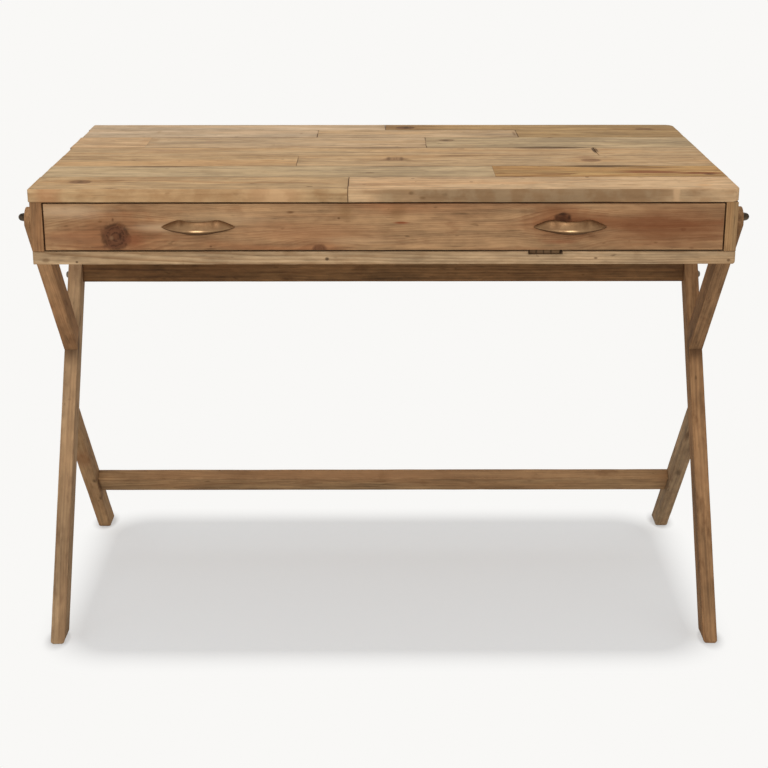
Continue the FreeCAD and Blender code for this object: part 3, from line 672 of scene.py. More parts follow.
def top_board(
    row, side, tone, seed, knots=(), stains=(), corner=None, gaps=(), ends=(0.0, 0.0), tight_end=0, **finish
):
    """One short board of the table top, with worn outer edges and close joints.

    The tight end, low -1 or high 1, has no dirt in its joint. A gap gives its axis and side, its two ends in
    millimetres and its depth.
    """
    node = f"top_board_{row}_{side}"
    board = board_of(node, RIGHT, REAR)
    along = [OUTER_EASE if side == end else JOINT_EASE for end in ("left", "right")]
    if tight_end:
        along[tight_end > 0] = TIGHT_EASE
    across = [OUTER_EASE if row == end else JOINT_EASE for end in (1, LAST_ROW)]
    eases = (along, across, (JOINT_EASE, JOINT_EASE))
    openings = []
    for axis, edge_side, *limits, depth in gaps:
        low, high = (board.local(on_top(limit, limit))[1 - axis] for limit in limits)
        openings.append((axis, edge_side, low, high, depth))
    points = eased_points(board, eases, TOP_SPACING, seed, corner=corner, gaps=openings, ends=ends)
    half = board.size / 2
    joints = [(axis, way) for axis in (0, 1) for way in (-1, 1) if eases[axis][way > 0] == JOINT_EASE]
    seam = []
    for point in points[0]:
        own = board.local(point)
        near = min(half[axis] - way * own[axis] for axis, way in joints)
        seam.append(max(0.0, 1.0 - near / SEAM_WIDTH))
    material = pine(
        f"{node}_pine", board, tone, ring=0.007, seed=seed, streak=0.55, knots=put(knots, on_top),
        stains=put(stains, on_top), **finish,
    )
    object_of(f"plank_{row}_{side}", *points, material, "desk", "top_pine", node, seam)


top_board(
    1, "left", "honey", 1.1, corner=(-1, -1, 0.004), grain=(30, -50, 20, 30), figure=0.55, value=1.02,
    knots=[((-460, 58), 14, 1.3, 0.6)],
    stains=[
        ((-90, 92), (60, 8), "8A7150", 0.5, 0.8), ((-460, 58), (7, 8), "5E452C", 0.8),
        ((-290, 0), (260, 6), "B98C60", 0.45, 0.8), ((-165, 0), (60, 5), "D8AC80", 0.6, 0.8),
        ((-500, 0), (30, 5), "B97A50", 0.5, 0.8), ((-440, 90), (70, 10), "8F7350", 0.35, 0.8),
    ],
)
top_board(
    1, "right", "peach", 2.3, corner=(1, -1, 0.016), grain=(-20, -70, -15, 20), figure=0.4, value=1.02,
    stains=[
        ((132, 57), (4, 3.5), "6E5034", 0.8, 0.6), ((44, 84), (4, 3), "6E5034", 0.7, 0.6),
        ((312, 95), (4, 4), "5A412B", 0.8, 0.6), ((48, 60), (2, 2), "7A5C3E", 0.7, 0.6),
        ((-15, 92), (12, 4), "7C6244", 0.5, 0.8), ((240, 0), (340, 5), "6C563D", 0.85, 0.6),
        ((434, 0), (7, 6), "C8A47C", 0.8, 0.6), ((10, 0), (30, 6), "8A7558", 0.5, 0.8),
        ((90, 0, 8), (6, 6, 4), "5A432C", 0.8, 0.8), ((40, 0, 6), (6, 6, 4), "54402A", 0.8, 0.8),
        ((57, 0, 13), (7, 6, 3), "5E482F", 0.8, 0.8), ((480, 30), (20, 20), "C08C58", 0.4),
    ],
)
top_board(
    2, "left", "dove", 3.7, ends=(0.001, 0.0), tight_end=1, grain=(15, -90, 30, 10), figure=0.35,
    knots=[((-22, 130), 4, 1.8, 0.5)],
    stains=[
        ((-120, 105), (70, 12), "8F7656", 0.5), ((-358, 185), (90, 12), "4E3826", 0.8, 0.8),
        ((20, 186), (100, 4), "6B523A", 0.5, 0.8),
    ],
)
top_board(
    2, "right", "amber", 4.9, tight_end=-1, grain=(-25, -30, 50, -40), figure=0.8, value=1.1,
    gaps=[(1, 1, 265, 425, 0.0014)],
    stains=[
        ((420, 136), (70, 11), "7E4320", 0.85, 0.6), ((495, 127), (50, 10), "783E1C", 0.85, 0.6),
        ((505, 119), (14, 9), "4E2B18", 0.9), ((400, 146), (50, 9), "7A4A28", 0.6),
        ((340, 185), (100, 13), "3A2413", 0.9, 0.8), ((430, 176), (60, 12), "6A4628", 0.6),
        ((220, 165), (40, 12), "8E6A42", 0.4), ((200, 112), (50, 6), "A87A48", 0.4),
    ],
)
top_board(
    3, "left", "honey", 5.3, ends=(0.002, 0.0), tight_end=1, grain=(-30, -60, -20, 30), figure=0.5,
    value=1.03,
    stains=[
        ((-405, 240), (6, 4), "6E4F32", 0.7, 0.8), ((-330, 232), (4, 3), "6E4F32", 0.6, 0.8),
        ((-470, 255), (50, 6), "9A7248", 0.4), ((-180, 240), (40, 8), "A5743F", 0.4),
    ],
)
top_board(
    3, "right", "straw", 6.1, grain=(40, -50, 20, -25), figure=0.45, value=0.98,
    knots=[((336, 238), 14, 1.2, 0.6), ((20, 250), 17, 1.2, 0.4)],
    stains=[
        ((8, 254), (5.5, 22), "664A30", 0.75), ((17, 252), (2, 20), "7A5A3C", 0.5),
        ((21, 254), (2, 20), "7A5A3C", 0.5), ((29, 252), (5, 26), "664A30", 0.7),
        ((2, 243), (12, 8), "7A5A3C", 0.5), ((38, 242), (12, 10), "80653F", 0.5),
        ((330, 266), (24, 30), "97704F", 0.6), ((118, 279), (45, 8), "5E432B", 0.8, 0.8),
        ((410, 232), (50, 20), "B08B62", 0.35), ((350, 191), (90, 8), "4E341F", 0.7, 0.8),
    ],
)
top_board(
    4, "left", "straw", 7.7, ends=(0.003, 0.0), grain=(0, -80, 25, 15), figure=0.42, value=0.97,
    gaps=[(1, 1, -150, 80, 0.0012), (1, 1, 210, 356, 0.0012), (0, 1, 300, 362, 0.0022)],
    knots=[((130, 344), 4, 1.8, 0.4)],
    stains=[
        ((-370, 330), (60, 20), "B08A68", 0.4), ((-40, 355), (120, 7), "4A321E", 0.75, 0.8),
        ((275, 354), (85, 10), "442C18", 0.85, 0.7), ((320, 355.5), (36, 5), "3C2716", 0.8, 0.7),
        ((352.5, 330), (4.5, 34), "3A2615", 0.9, 0.6), ((250, 330), (70, 30), "9C7A54", 0.4),
        ((-250, 300), (90, 10), "A5825C", 0.4), ((150, 300), (100, 6), "8E6C4A", 0.4),
    ],
)
top_board(
    4, "right", "straw", 8.2, grain=(20, -60, -30, 20), figure=0.4, value=0.96,
    stains=[((370, 300), (20, 10), "8E6C4A", 0.4), ((357, 335), (3.5, 30), "4A321E", 0.8, 0.8)],
)
top_board(
    5, "left", "peach", 9.4, tight_end=1, grain=(-20, -50, 30, 20), figure=0.5, value=1.05,
    stains=[((-480, 402), (60, 4), "8A6644", 0.55), ((-524, 330), (4, 10), "6A4B30", 0.6)],
)
top_board(
    5, "middle", "pale", 10.6, tight_end=-1, grain=(30, -60, -25, 20), figure=0.45, value=0.95,
    stains=[
        ((-395, 430), (10, 20), "A0805E", 0.4), ((-300, 420), (12, 30), "A8876A", 0.4),
        ((-150, 368), (90, 6), "8A6746", 0.45), ((-40, 455), (50, 6), "96754F", 0.4),
    ],
)
top_board(
    5, "right", "dove", 11.8, grain=(-10, -50, 20, -30), figure=0.4, value=0.92,
    knots=[((110, 430), 11, 1.3, 0.5), ((292, 455), 4, 1.3, 0.5)],
    stains=[
        ((285, 361), (75, 8), "4E3622", 0.7, 0.8), ((108, 430), (8, 9), "5E4C36", 0.8),
        ((290, 425), (100, 30), "8E7A5C", 0.5, 0.95), ((140, 380), (30, 20), "A5835F", 0.4),
        ((470, 460), (60, 6), "7A5E40", 0.4),
    ],
)
top_board(
    6, "left", "chalk", 12.5, ends=(0.0022, 0.0), grain=(20, -90, 15, 20), figure=0.32, value=1.02,
    stains=[((-145, 500), (4, 8), "8A6B4A", 0.5), ((-400, 520), (6, 20), "9A7A56", 0.35)],
)
top_board(
    6, "middle", "pale", 13.9, grain=(-30, -70, 20, 30), figure=0.35, value=0.96,
    stains=[((-30, 528), (50, 12), "8A6E4C", 0.5), ((232, 500), (4, 30), "6A4C30", 0.5, 0.8)],
)
top_board(
    6, "right", "umber", 14.3, grain=(10, -60, -20, 20), figure=0.45,
    stains=[((480, 472), (50, 6), "5E432B", 0.5)],
)
top_board(
    7, "left", "chalk", 15.1, corner=(-1, 1, 0.004), ends=(0.001, 0.0), grain=(20, -80, 20, 20), figure=0.3,
    value=1.02,
    stains=[((-300, 592), (200, 10), "A79274", 0.4)],
)
top_board(
    7, "right", "umber", 16.7, corner=(1, 1, 0.016), grain=(-20, -50, 20, -20), figure=0.45, value=1.06,
    knots=[((40, 566), 15, 1.2, 0.8), ((470, 548), 12, 1.5, 0.5)],
    stains=[((42, 566), (9, 10), "3E3222", 0.85), ((250, 560), (120, 10), "8F6A42", 0.4)],
)


# Case

RAIL_TOP = 0.675


def on_front(x, z):
    """A point on the front, from the middle and the floor, in millimetres."""
    return (x / 1000, CASE_FRONT, z / 1000)


OLD_MORTISE = ((0.216, CASE_FRONT - 0.01, RAIL_TOP - 0.0045), (0.268, CASE_FRONT + 0.009, RAIL_TOP + 0.01))
# The patches from 218 to 266 at the rail's top darken the old mortise, most at its right end
RAIL_STAINS = [
    ((-508, 662), (8, 5), "6E5236", 0.6, 0.7), ((-462, 659), (3, 2.2), "4A3420", 0.8, 0.6),
    ((-86, 663.5), (4.5, 4), "3E2A1A", 0.85, 0.7), ((318, 664.7), (4, 2.2), "5A4029", 0.7, 0.7),
    ((242, 673.4), (26.2, 3.4), "5A3E22", 0.75, 0.12), ((266, 673.6), (2.4, 3.6), "1E140C", 0.9, 0.3),
    ((218, 673), (1.2, 3), "2E2014", 0.7, 0.3), ((229, 673), (1.5, 3), "34261A", 0.6, 0.3),
    ((240, 673), (1.2, 3), "34261A", 0.6, 0.3), ((251, 673), (1.7, 3), "2E2014", 0.6, 0.3),
    ((518, 661), (4, 3.5), "5A4029", 0.7, 0.7), ((-300, 673), (200, 4), "7A5B3C", 0.4),
]
wood_piece(
    "front_rail", RIGHT, UP, "rail", "case_pine", 0.0016, 21.0, hollows=[OLD_MORTISE], corner=(1, -1, 0.0045),
    grain=(30, -40, 30, 20), figure=0.7, ring=0.0022, wander=0.005, streak=0.8,
    stains=put(RAIL_STAINS, on_front),
)
wood_piece("rear_rail", RIGHT, UP, "rail", "case_pine", 0.0014, 22.0, grain=(20, -60, 20, 20), figure=0.5)
for side, seed, tone in (("left", 23.0, "stile"), ("right", 24.0, "toffee")):
    wood_piece(
        f"{side}_stile", UP, RIGHT, tone, "case_pine", 0.0009, seed,
        grain=(30, -30, 30, 20), figure=0.5, ring=0.0034, value=0.94, streak=0.6,
    )
    wood_piece(
        f"{side}_side_panel", REAR, UP, "umber", "case_pine", 0.001, seed + 4, name=f"{side}_side_worn",
        grain=(10, -50, 50, 30), figure=0.6,
    )
    bare_piece(f"{side}_runner", REAR, RIGHT, 0.001, seed + 8)
    bare_piece(f"{side}_kicker", REAR, RIGHT, 0.0008, seed + 12)
wood_piece(
    "back_panel", RIGHT, UP, "russet", "case_pine", 0.001, 41.0, grain=(10, -40, 40, 30), figure=0.6,
    knots=[((0.2, 0.31, 0.71), 12, 1.3, 1.0), ((-0.31, 0.31, 0.735), 8, 1.2, 0.8)],
)
bare_piece("top_batten", REAR, RIGHT, 0.0008, 42.0)


# Drawer

panel_low, panel_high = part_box("drawer_bottom")
GROOVE = (panel_low, (panel_high.x, 0.3, panel_high.z))
DRAWER_KNOTS = [((-402, 698), 22.5, 1.0, 0.95), ((266, 719), 15.5, 0.95, 1.0), ((-97, 679), 7.5, 1.5, 0.75)]
DRAWER_STAINS = [
    ((-475, 736), (90, 16), "CAAC8A", 0.58, 0.95), ((-335, 712), (60, 11), "CCAC88", 0.55, 0.95),
    ((-240, 725), (120, 18), "C2A27C", 0.45, 0.95), ((-470, 696), (75, 15), "9E7050", 0.38, 0.95),
    ((-374, 692), (22, 16), "8A4C2E", 0.4, 0.95), ((-110, 702), (170, 20), "9E6642", 0.4, 0.95),
    ((-40, 692), (90, 10), "C6A078", 0.4, 0.95), ((-58, 736), (18, 20), "86633F", 0.5, 0.95),
    ((20, 734), (20, 20), "805C3A", 0.55, 0.95), ((25, 719), (17, 2.6), "7E3A20", 0.85, 0.8),
    ((-140, 735), (8, 3), "5E3C22", 0.7, 0.8), ((-68, 726), (3.5, 2.5), "5A3A22", 0.7, 0.7),
    ((430, 712), (200, 50), "703C1E", 0.75, 0.95), ((300, 722), (140, 12), "8C5634", 0.45, 0.95),
    ((262, 690), (40, 6), "8E5032", 0.45), ((250, 738), (40, 12), "7E5030", 0.5, 0.95),
    ((-260, 683), (2.5, 2), "5A3A22", 0.7, 0.7), ((-408, 696), (5, 5), "87664A", 0.7),
    ((266, 724), (13, 10), "3E2516", 0.75), ((267, 732), (10, 3.5), "2E1A0E", 0.8),
    ((276, 727), (4, 7), "2E1A0E", 0.75), ((257, 727), (4, 6), "3A2214", 0.6),
    ((-395, 699), (3.5, 9), "341C10", 0.8, 0.8), ((-405, 724), (2.5, 4), "5E3C24", 0.7, 0.8),
    ((-424, 721), (4.5, 2.5), "6A4628", 0.6, 0.8), ((-395, 716), (4, 3), "6A4628", 0.6, 0.8),
]
wood_piece(
    "drawer_front", RIGHT, UP, "russet", "case_pine", 0.0007, 51.0, hollows=[GROOVE],
    grain=(-60, -50, 30, 20), ring=0.0024, wander=0.016, figure=0.4, flush=0.8, streak=0.25, value=0.97,
    knots=put(DRAWER_KNOTS, on_front), stains=put(DRAWER_STAINS, on_front),
)
for side, seed in (("left", 52.0), ("right", 53.0)):
    bare_piece(
        f"drawer_{side}_side", REAR, UP, 0.0008, seed, name=f"drawer_{side}_worn", hollows=[GROOVE],
        figure=0.5,
    )
bare_piece("drawer_back", RIGHT, UP, 0.0008, 54.0, figure=0.5)
bare_piece(
    "drawer_bottom", RIGHT, REAR, 0.0006, 55.0, grain=(100, -200, 60, 40), figure=0.4, mottle=0.45,
    streak=0.35,
)
bare_piece("drawer_muntin", REAR, RIGHT, 0.0006, 56.0)


# Side frames

BOLT_LEVEL = 0.711
REAR_BOLT = 0.223
FRONT_BOLT = -0.208
REAR_FOOT = 0.273
LONG_FOOT = -0.2247
LEG_LEAN = radians(32.2)
FRONT_LEAN = radians(42)
REAR_LEAN = radians(41.6)
LEG_WIDTH = 0.038
FRONT_WIDTH = 0.038
FRONT_RISE = 0.013
REAR_WIDTH = 0.035
LEG_THICK = 0.0235
LEG_MIDDLE = 0.53975
# Arris of the legs along their edges and at their plain ends, and at their feet, whose toes are rounded
LEG_EASE = 0.0018
END_EASE = 0.0016
FOOT_EASE = 0.005
TOE_RADIUS = 0.006


def lean_axes(lean):
    """The axes along and across a piece that leans in the side plane."""
    return Vector((0, -sin(lean), cos(lean))), Vector((0, cos(lean), sin(lean)))


def leaning(node, origin, lean, width, start, finish, x, seed, look, foot=False, **wood):
    """A leg or strut that leans in the side plane, cut at both ends to any line across it."""
    board = Board(Vector((x, *origin)), *lean_axes(lean), (finish(0) - start(0), width, LEG_THICK))
    eases = ((FOOT_EASE if foot else END_EASE, END_EASE), (LEG_EASE, LEG_EASE), (LEG_EASE, LEG_EASE))
    toe = TOE_RADIUS if foot else 0.0
    points = eased_points(board, eases, LEG_SPACING, seed, start=start, finish=finish, toe=toe)
    tone, value = look
    material = pine(
        f"{node}_worn_pine", board, tone, seed=seed, value=value, ring=0.0034, figure=0.3, mottle=1.7,
        streak=0.45, **wood,
    )
    object_of(f"{node}_worn", *points, material, "desk", "frame_pine", node)


def meeting(origin, lean, leg_side):
    """The line across a strut where it meets the front or rear face of the long leg."""
    face = REAR_BOLT + leg_side * LEG_WIDTH / 2 / cos(LEG_LEAN) - BOLT_LEVEL * tan(LEG_LEAN)

    def line(across):
        edge = origin[0] + across / cos(lean) + origin[1] * tan(lean)
        level = (edge - face) / (tan(LEG_LEAN) + tan(lean))
        return (level - origin[1] - across * sin(lean)) / cos(lean)

    return line


def round_end(width, rise):
    """The arc at the upper end of a leg, from side to side."""
    ball = ((width / 2) ** 2 + rise ** 2) / (2 * rise)
    return lambda across: rise - ball + sqrt(max(0.0, ball ** 2 - across ** 2))


# Sign, side, seed, tone and value of the long leg, front strut and rear strut, stains on the rear strut
FRAME_LOOKS = (
    (-1, "left", 61.0, ("ash", 1.06), ("brown", 1.08), ("leg", 1.11), [
        ((-0.531, 0.1205, 0.1454), (12, 20, 6), "4A3322", 0.8),
        ((-0.53, 0.168, 0.092), (12, 20, 5), "4A3322", 0.7),
        ((-0.54, 0.062, 0.211), (50, 20), "84512F", 0.5),
    ]),
    (1, "right", 67.0, ("brown", 0.92), ("brown", 0.82), ("ash", 0.91), [
        ((0.531, 0.0036, 0.277), (30, 20, 8), "4A3424", 0.7),
        ((0.538, 0.1006, 0.168), (20, 20, 8), "55402C", 0.7),
    ]),
)
LONG_ORIGIN = (REAR_BOLT, BOLT_LEVEL)
FRONT_ORIGIN = (FRONT_BOLT, BOLT_LEVEL)
REAR_ORIGIN = (REAR_FOOT, 0.0)
for sign, side, seed, leg_look, front_look, rear_look, rear_stains in FRAME_LOOKS:
    x = sign * LEG_MIDDLE
    leaning(
        f"{side}_long_leg", LONG_ORIGIN, -LEG_LEAN, LEG_WIDTH,
        lambda across: -BOLT_LEVEL / cos(LEG_LEAN) + across * tan(LEG_LEAN),
        round_end(LEG_WIDTH, LEG_WIDTH / 2), x, seed, leg_look, foot=True, grain=(30, -20, 20, 20),
        stains=[
            ((x, 0.026, 0.434), (40, 30), "4A3220", 0.75, 0.85),
            ((x - sign * 0.004, 0.06, 0.47), (30, 6), "5A3A24", 0.6, 0.8),
            ((x, -0.215, 0.004), (50, 30), "5E4630", 0.5),
            # Painted shade high on the leg under the top: strong on the left leg, faint on the right
            ((x, 0.15, 0.6), (170, 50), "6E4A30", 0.35 - sign * 0.3, 0.95),
        ],
    )
    leaning(
        f"{side}_front_strut", FRONT_ORIGIN, FRONT_LEAN, FRONT_WIDTH, meeting(FRONT_ORIGIN, FRONT_LEAN, -1),
        round_end(FRONT_WIDTH, FRONT_RISE), x, seed + 1, front_look, grain=(-20, -30, 30, 20),
    )
    leaning(
        f"{side}_rear_strut", REAR_ORIGIN, REAR_LEAN, REAR_WIDTH, lambda across: -across * tan(REAR_LEAN),
        meeting(REAR_ORIGIN, REAR_LEAN, 1), x, seed + 2, rear_look, foot=True, grain=(20, -30, 20, 30),
        stains=rear_stains,
    )
# The upper stretcher's dark tone and low value are painted shade from the case above it
wood_piece(
    "upper_stretcher", RIGHT, UP, "cross", "frame_pine", 0.0014, 71.0,
    grain=(30, -30, 20, 20), figure=0.45, value=0.72, streak=0.7,
)

LOWER_SIZE = (1.056, 0.046, 0.020)
LOWER_REACH = 0.173
LOWER_OFFSET = 0.0035
strut_along, strut_across = lean_axes(REAR_LEAN)
lower_middle = Vector((0, *REAR_ORIGIN)) + strut_along * LOWER_REACH + strut_across * LOWER_OFFSET
lower_board = Board(lower_middle, RIGHT, strut_along, LOWER_SIZE)
worn_board(
    "lower_stretcher_worn", "lower_stretcher", lower_board, 0.0014, 72.0, "leg", "desk", "frame_pine",
    grain=(0, -35, 30, 20), figure=0.45, value=1.04, mottle=1.5, streak=0.6,
    # Painted highlight: a pale band on the upper face, lighter because light falls from above
    stains=[(lower_middle + strut_along * LOWER_SIZE[1] / 2, (700, 5), "A8805C", 0.55)],
)


# Metal

BRASS = cast_metal("antique_brass", "987958", "806145", 0.5, 0.5)
BLACKENED = cast_metal("blackened_steel", "5C4F40", "221C16", 0.42, 1.0)
DULLED = cast_metal("dulled_steel", "8A7B6C", "5F5448", 0.55, 1.0)
STEEL = cast_metal("plain_steel", "A8A6A2", "7E7B77", 0.4, 1.0)

# Section of a bow pull from its upper rear edge round: shares of depth and height, shine, and how tarnished
# it is. The shine is rubbed wear and, at the ridge, a painted highlight; the tarnished rows are partly
# painted shade in the crease at the drawer and on the underside that faces down.
PULL_SECTION = (
    (0.0, 0.9, 0.0, 0.5), (0.04, 0.985, 0.0, 0.5), (0.12, 1.0, 0.0, 0.45), (0.28, 0.94, 0.0, 0.45),
    (0.48, 0.77, 0.0, 0.4), (0.68, 0.52, 0.0, 0.25), (0.83, 0.27, 0.0, 0.1), (0.925, 0.08, 0.55, 0.0),
    (0.975, -0.06, 0.8, 0.0), (1.0, -0.17, 1.0, 0.0), (0.985, -0.27, 0.6, 0.3), (0.94, -0.38, 0.2, 0.8),
    (0.86, -0.51, 0.0, 1.0), (0.74, -0.63, 0.0, 1.0), (0.5, -0.76, 0.0, 1.0), (0.2, -0.83, 0.0, 1.0),
    (0.0, -0.8, 0.0, 0.8), (0.0, 0.0, 0.0, 0.5),
)
PULL_STOPS = 81
PULL_LEVEL = 0.7125
# Half the length of the painted highlight on the ridge of a pull, where hands have also polished it, and how
# much brighter it is there
HIGHLIGHT_REACH = 0.012
HIGHLIGHT_GAIN = 0.8


def tube_faces(base, rows, count):
    """Faces between rows of points that each close on themselves, and the two ends."""
    faces = []
    for low in range(base, base + (rows - 1) * count, count):
        for turn in range(count):
            after = (turn + 1) % count
            faces.append((low + turn, low + after, low + count + after, low + count + turn))
    last = base + (rows - 1) * count
    faces.append(tuple(range(base + count - 1, base - 1, -1)))
    faces.append(tuple(range(last, last + count)))
    return faces


def bow_pull(name, node, x_middle):
    """A cast bow: leaf ends flat on the drawer, a rounded grip with a ridge along its front."""
    half, reach, gap_half, gap = 0.055, 0.026, 0.025, 0.013
    shoulder, high, waist = 0.031, 0.011, 0.010
    outer = (half * half + reach * reach) / (2 * reach)
    hollow = (gap_half * gap_half + gap * gap) / (2 * gap)
    verts, edge, tarnish_and_shade = [], [], []
    for step in range(PULL_STOPS):
        x = half * 0.999 * sin((-1 + 2 * step / (PULL_STOPS - 1)) * pi / 2)
        size = abs(x)
        front = max(sqrt(outer * outer - x * x) - (outer - reach), 0.0006) * 0.995
        back = sqrt(hollow * hollow - x * x) - (hollow - gap) if size < gap_half else 0.0
        lens = 1 - (size / half) ** 2.2
        brow = high * min(1.0, (half - size) / (half - shoulder)) ** 0.8
        brow -= (high - waist) * max(0.0, 1 - (size / shoulder) ** 2)
        brow -= 0.0006 * max(0.0, 1 - abs(size - shoulder) / 0.007)
        rises = (brow + 0.0005, high * 0.92 * lens ** 0.8 + 0.0005)
        # Painted highlight at the middle of the ridge, where hands also polish it
        polish_and_highlight = 1 + HIGHLIGHT_GAIN * max(0.0, 1 - (x / HIGHLIGHT_REACH) ** 2)
        for depth, height, shine, dull in PULL_SECTION:
            y = CASE_FRONT - back - depth * (front - back)
            verts.append((x_middle + x, y, PULL_LEVEL + height * rises[height < 0.05]))
            edge.append(shine * polish_and_highlight)
            tarnish_and_shade.append(dull)
    faces = tube_faces(0, PULL_STOPS, len(PULL_SECTION))
    object_of(name, verts, faces, edge, BRASS, "drawer", "antique_brass", node, tarnish_and_shade)


bow_pull("left_bow_pull", "left_pull", -0.278)
bow_pull("right_bow_pull", "right_pull", 0.278)

HEAD_TURNS = 28


def turned_heads(name, node, places, material):
    """Round pieces on several axes. Each profile gives radius, height and edge wear from end to end."""
    verts = []
    faces = []
    edge = []
    for origin, axis, profile in places:
        faces += tube_faces(len(verts), len(profile), HEAD_TURNS)
        aim = Vector(axis).to_track_quat("Z", "Y").to_matrix()
        for radius, height, mark in profile:
            for turn in range(HEAD_TURNS):
                angle = 2 * pi * turn / HEAD_TURNS
                spot = Vector((radius * cos(angle), radius * sin(angle), height))
                verts.append(Vector(origin) + aim @ spot)
                edge.append(mark)
    object_of(name, verts, faces, edge, material, "desk", "dark_steel", node)


def crown(radius, height, power, first):
    """The upper part of a bolt head, from its rim to its middle."""
    section = []
    for step in range(first, 8):
        angle = pi / 2 * step / 8
        rise = 0.6 * sin(angle)
        section.append((radius * cos(angle) ** power, height * (0.4 + rise), 0.2 + rise))
    return section


def shank(radius, length):
    """The part of a bolt that is in the wood."""
    return [(radius, -length, 0.0), (radius, -0.0002, 0.0)]


def dome(radius, height):
    """Half section of a bolt head: washer, collar and domed nut."""
    shares = (
        (0.96, 0.0, 0.2), (1.0, 0.03, 0.8), (1.0, 0.1, 1.0), (0.96, 0.13, 0.7), (0.86, 0.135, 0.0),
        (0.84, 0.15, 0.0), (0.84, 0.36, 0.4), (0.81, 0.4, 0.9),
    )
    section = [(radius * wide, height * high, mark) for wide, high, mark in shares]
    return section + crown(radius * 0.8, height, 1, 1) + [(radius * 0.06, height, 0.8)]


def peg(radius, height):
    """Half section of a stretcher bolt's head: plain and round, with a worn rim."""
    section = [(radius * 0.97, 0.0, 0.2), (radius, height * 0.06, 0.5)]
    return section + crown(radius, height, 0.7, 0) + [(radius * 0.06, height, 0.8)]


LEG_FACE = 0.5515
UPPER_LEVEL = 0.546
UPPER_BOLT_DROP = 0.009
upper_y = REAR_BOLT - (BOLT_LEVEL - UPPER_LEVEL) * tan(LEG_LEAN)
case_bolt = shank(0.004, 0.0375) + dome(0.0075, 0.011)
upper_bolt = shank(0.003, 0.0685) + peg(0.006, 0.0075)
lower_bolt = shank(0.003, 0.0685) + peg(0.006, 0.0025)
case_places = []
cross_places = []
for sign in (-1, 1):
    x = sign * LEG_FACE
    out = (sign, 0, 0)
    for y in (FRONT_BOLT, REAR_BOLT):
        case_places.append(((x, y, BOLT_LEVEL), out, case_bolt))
    cross_places.append(((x, upper_y, UPPER_LEVEL - UPPER_BOLT_DROP), out, upper_bolt))
    cross_places.append(((x, lower_middle.y, lower_middle.z), out, lower_bolt))
turned_heads("case_bolt_heads", "case_bolts", case_places, BLACKENED)
turned_heads("stretcher_bolt_heads", "stretcher_bolts", cross_places, DULLED)


# Pieces that keep their CAD shape


def dress(node, material):
    """Gives a CAD node its finish."""
    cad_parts[node].data.materials.clear()
    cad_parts[node].data.materials.append(material)


for node in ("closing_stops", "pull_out_stops", "strut_dowels"):
    stock = board_of(node, RIGHT, REAR)
    dress(node, pine(f"{node}_pine", stock, "bare", (20, -50, 20, 20), seed=80.0))
for node in ("pull_screws", "case_inserts"):
    dress(node, STEEL)
for node in ("closing_stops", "pull_out_stops"):
    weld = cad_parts[node].modifiers.new("joined_corners", "WELD")
    weld.merge_threshold = 0.00001
    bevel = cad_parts[node].modifiers.new("eased_arris", "BEVEL")
    bevel.width = 0.0008
    bevel.segments = 2
    bevel.limit_method = "ANGLE"


# Stage, light and camera

BACKGROUND = paint("F9F8F6")
FLOOR_REACH = 9.0
# Half sides of the shaded floor under the desk, how far it fades out, and its least share of background
SHADE_HALF = (0.44, 0.2, 0.0)
SHADE_FADE = 0.15
LEAST_GLOW = 0.42
# The shaded floor round a foot: where it is darkest and where it ends
FOOT_SHADE = (0.002, 0.032)


def choice(share, first, second):
    """One shader or another."""
    inputs = {0: share, 1: first.outputs[0], 2: second.outputs[0]}
    return join("ShaderNodeMixShader", inputs)


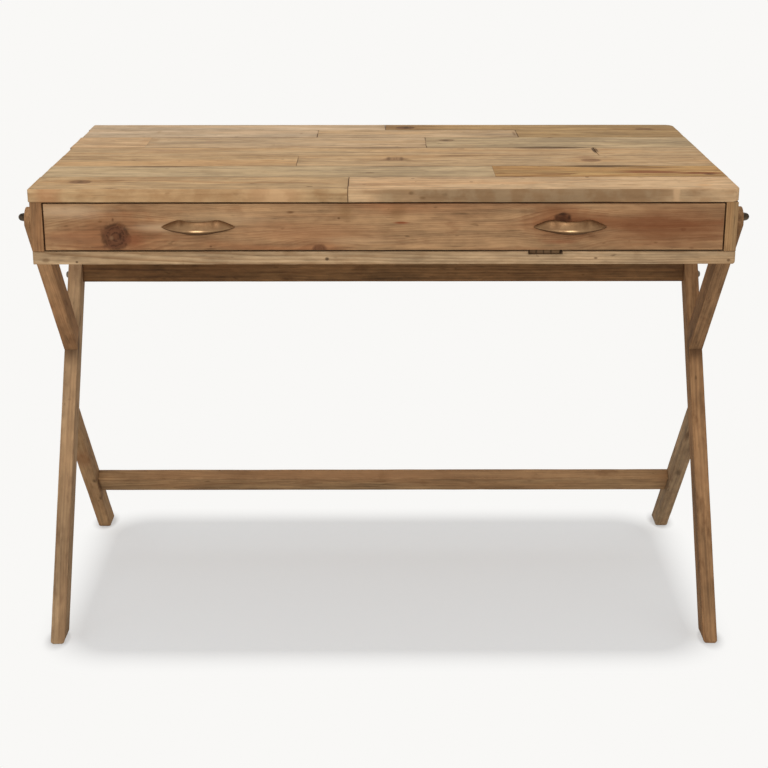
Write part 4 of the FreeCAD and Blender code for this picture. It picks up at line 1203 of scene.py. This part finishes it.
def pale_floor():
    """A pale floor that fades into the background away from the desk."""
    mesh = bpy.data.meshes.new("pale_floor")
    corners = [(x * FLOOR_REACH, y * FLOOR_REACH, 0) for x, y in ((-1, -1), (1, -1), (1, 1), (-1, 1))]
    mesh.from_pydata(corners, [], [(0, 1, 2, 3)])
    floor = linked("pale_floor", mesh)
    material, tree, where = new_material("pale_floor_paint")
    beyond = vec("SUBTRACT", vec("ABSOLUTE", where), SHADE_HALF)
    distance = vec("LENGTH", vec("MAXIMUM", beyond, (0.0, 0.0, 0.0)))
    far = smooth(distance, 0.0, SHADE_FADE)
    sides = parts_of(where)
    half_place = {"X": calc("ABSOLUTE", sides["X"]), "Y": sides["Y"]}
    place = join("ShaderNodeCombineXYZ", half_place).outputs[0]
    for foot_y in (LONG_FOOT, REAR_FOOT):
        beside = vec("SUBTRACT", place, (LEG_MIDDLE, foot_y, 0.0))
        around = vec("LENGTH", vec("MULTIPLY", beside, (1.0, 0.55, 0.0)))
        far = calc("MINIMUM", far, smooth(around, *FOOT_SHADE))
    lit = add(tree, "ShaderNodeBsdfDiffuse", {"Color": paint("EFF2F6")})
    glow = add(tree, "ShaderNodeEmission", {"Color": BACKGROUND, "Strength": 1.0})
    shown = choice(calc("MAXIMUM", far, LEAST_GLOW), lit, glow)
    ray = add(tree, "ShaderNodeLightPath").outputs
    seen = calc("MAXIMUM", ray["Is Camera Ray"], ray["Is Glossy Ray"])
    seen = calc("MAXIMUM", seen, ray["Is Transmission Ray"])
    bounce = add(tree, "ShaderNodeBsdfDiffuse", {"Color": paint("CFCECC")})
    add(tree, "ShaderNodeOutputMaterial", {"Surface": choice(seen, bounce, shown).outputs[0]})
    mesh.materials.append(material)


pale_floor()
world = bpy.data.worlds.new("studio")
scene.world = world
world.use_nodes = True
sky = world.node_tree
sky.nodes.clear()
ray = add(sky, "ShaderNodeLightPath").outputs
seen = calc("MAXIMUM", ray["Is Camera Ray"], ray["Is Glossy Ray"])
soft_light = add(sky, "ShaderNodeBackground", {"Color": paint("FFFDFA"), "Strength": 0.58})
backdrop = add(sky, "ShaderNodeBackground", {"Color": BACKGROUND, "Strength": 1.0})
add(sky, "ShaderNodeOutputWorld", {"Surface": choice(seen, soft_light, backdrop).outputs[0]})


def soft_box(name, place, aim, width, depth, power):
    """A large soft lamp that points at a place."""
    lamp = bpy.data.lights.new(name, "AREA")
    lamp.shape = "RECTANGLE"
    lamp.size = width
    lamp.size_y = depth
    lamp.energy = power
    holder = linked(name, lamp)
    holder.location = place
    holder.rotation_euler = (Vector(aim) - Vector(place)).to_track_quat("-Z", "Y").to_euler()


soft_box("overhead_lamp", (-0.1, 0.0, 5.0), (0, 0, 0), width=0.8, depth=0.7, power=58)
soft_box("front_lamp", (-0.5, -4.4, 1.5), (0, 0, 0.5), width=3.0, depth=1.8, power=70)

# The camera that was fitted to the photo, whose tilt and turn are in degrees
CAMERA_PLACE = (-0.00946, -2.66574, 1.24492)
CAMERA_TILT = 18.129
CAMERA_TURN = -0.217
camera = linked("camera", bpy.data.cameras.new("camera"))
camera.location = CAMERA_PLACE
camera.rotation_euler = (radians(90 - CAMERA_TILT), 0, radians(CAMERA_TURN))
camera.data.lens = 76.17
camera.data.sensor_width = 36
scene.camera = camera
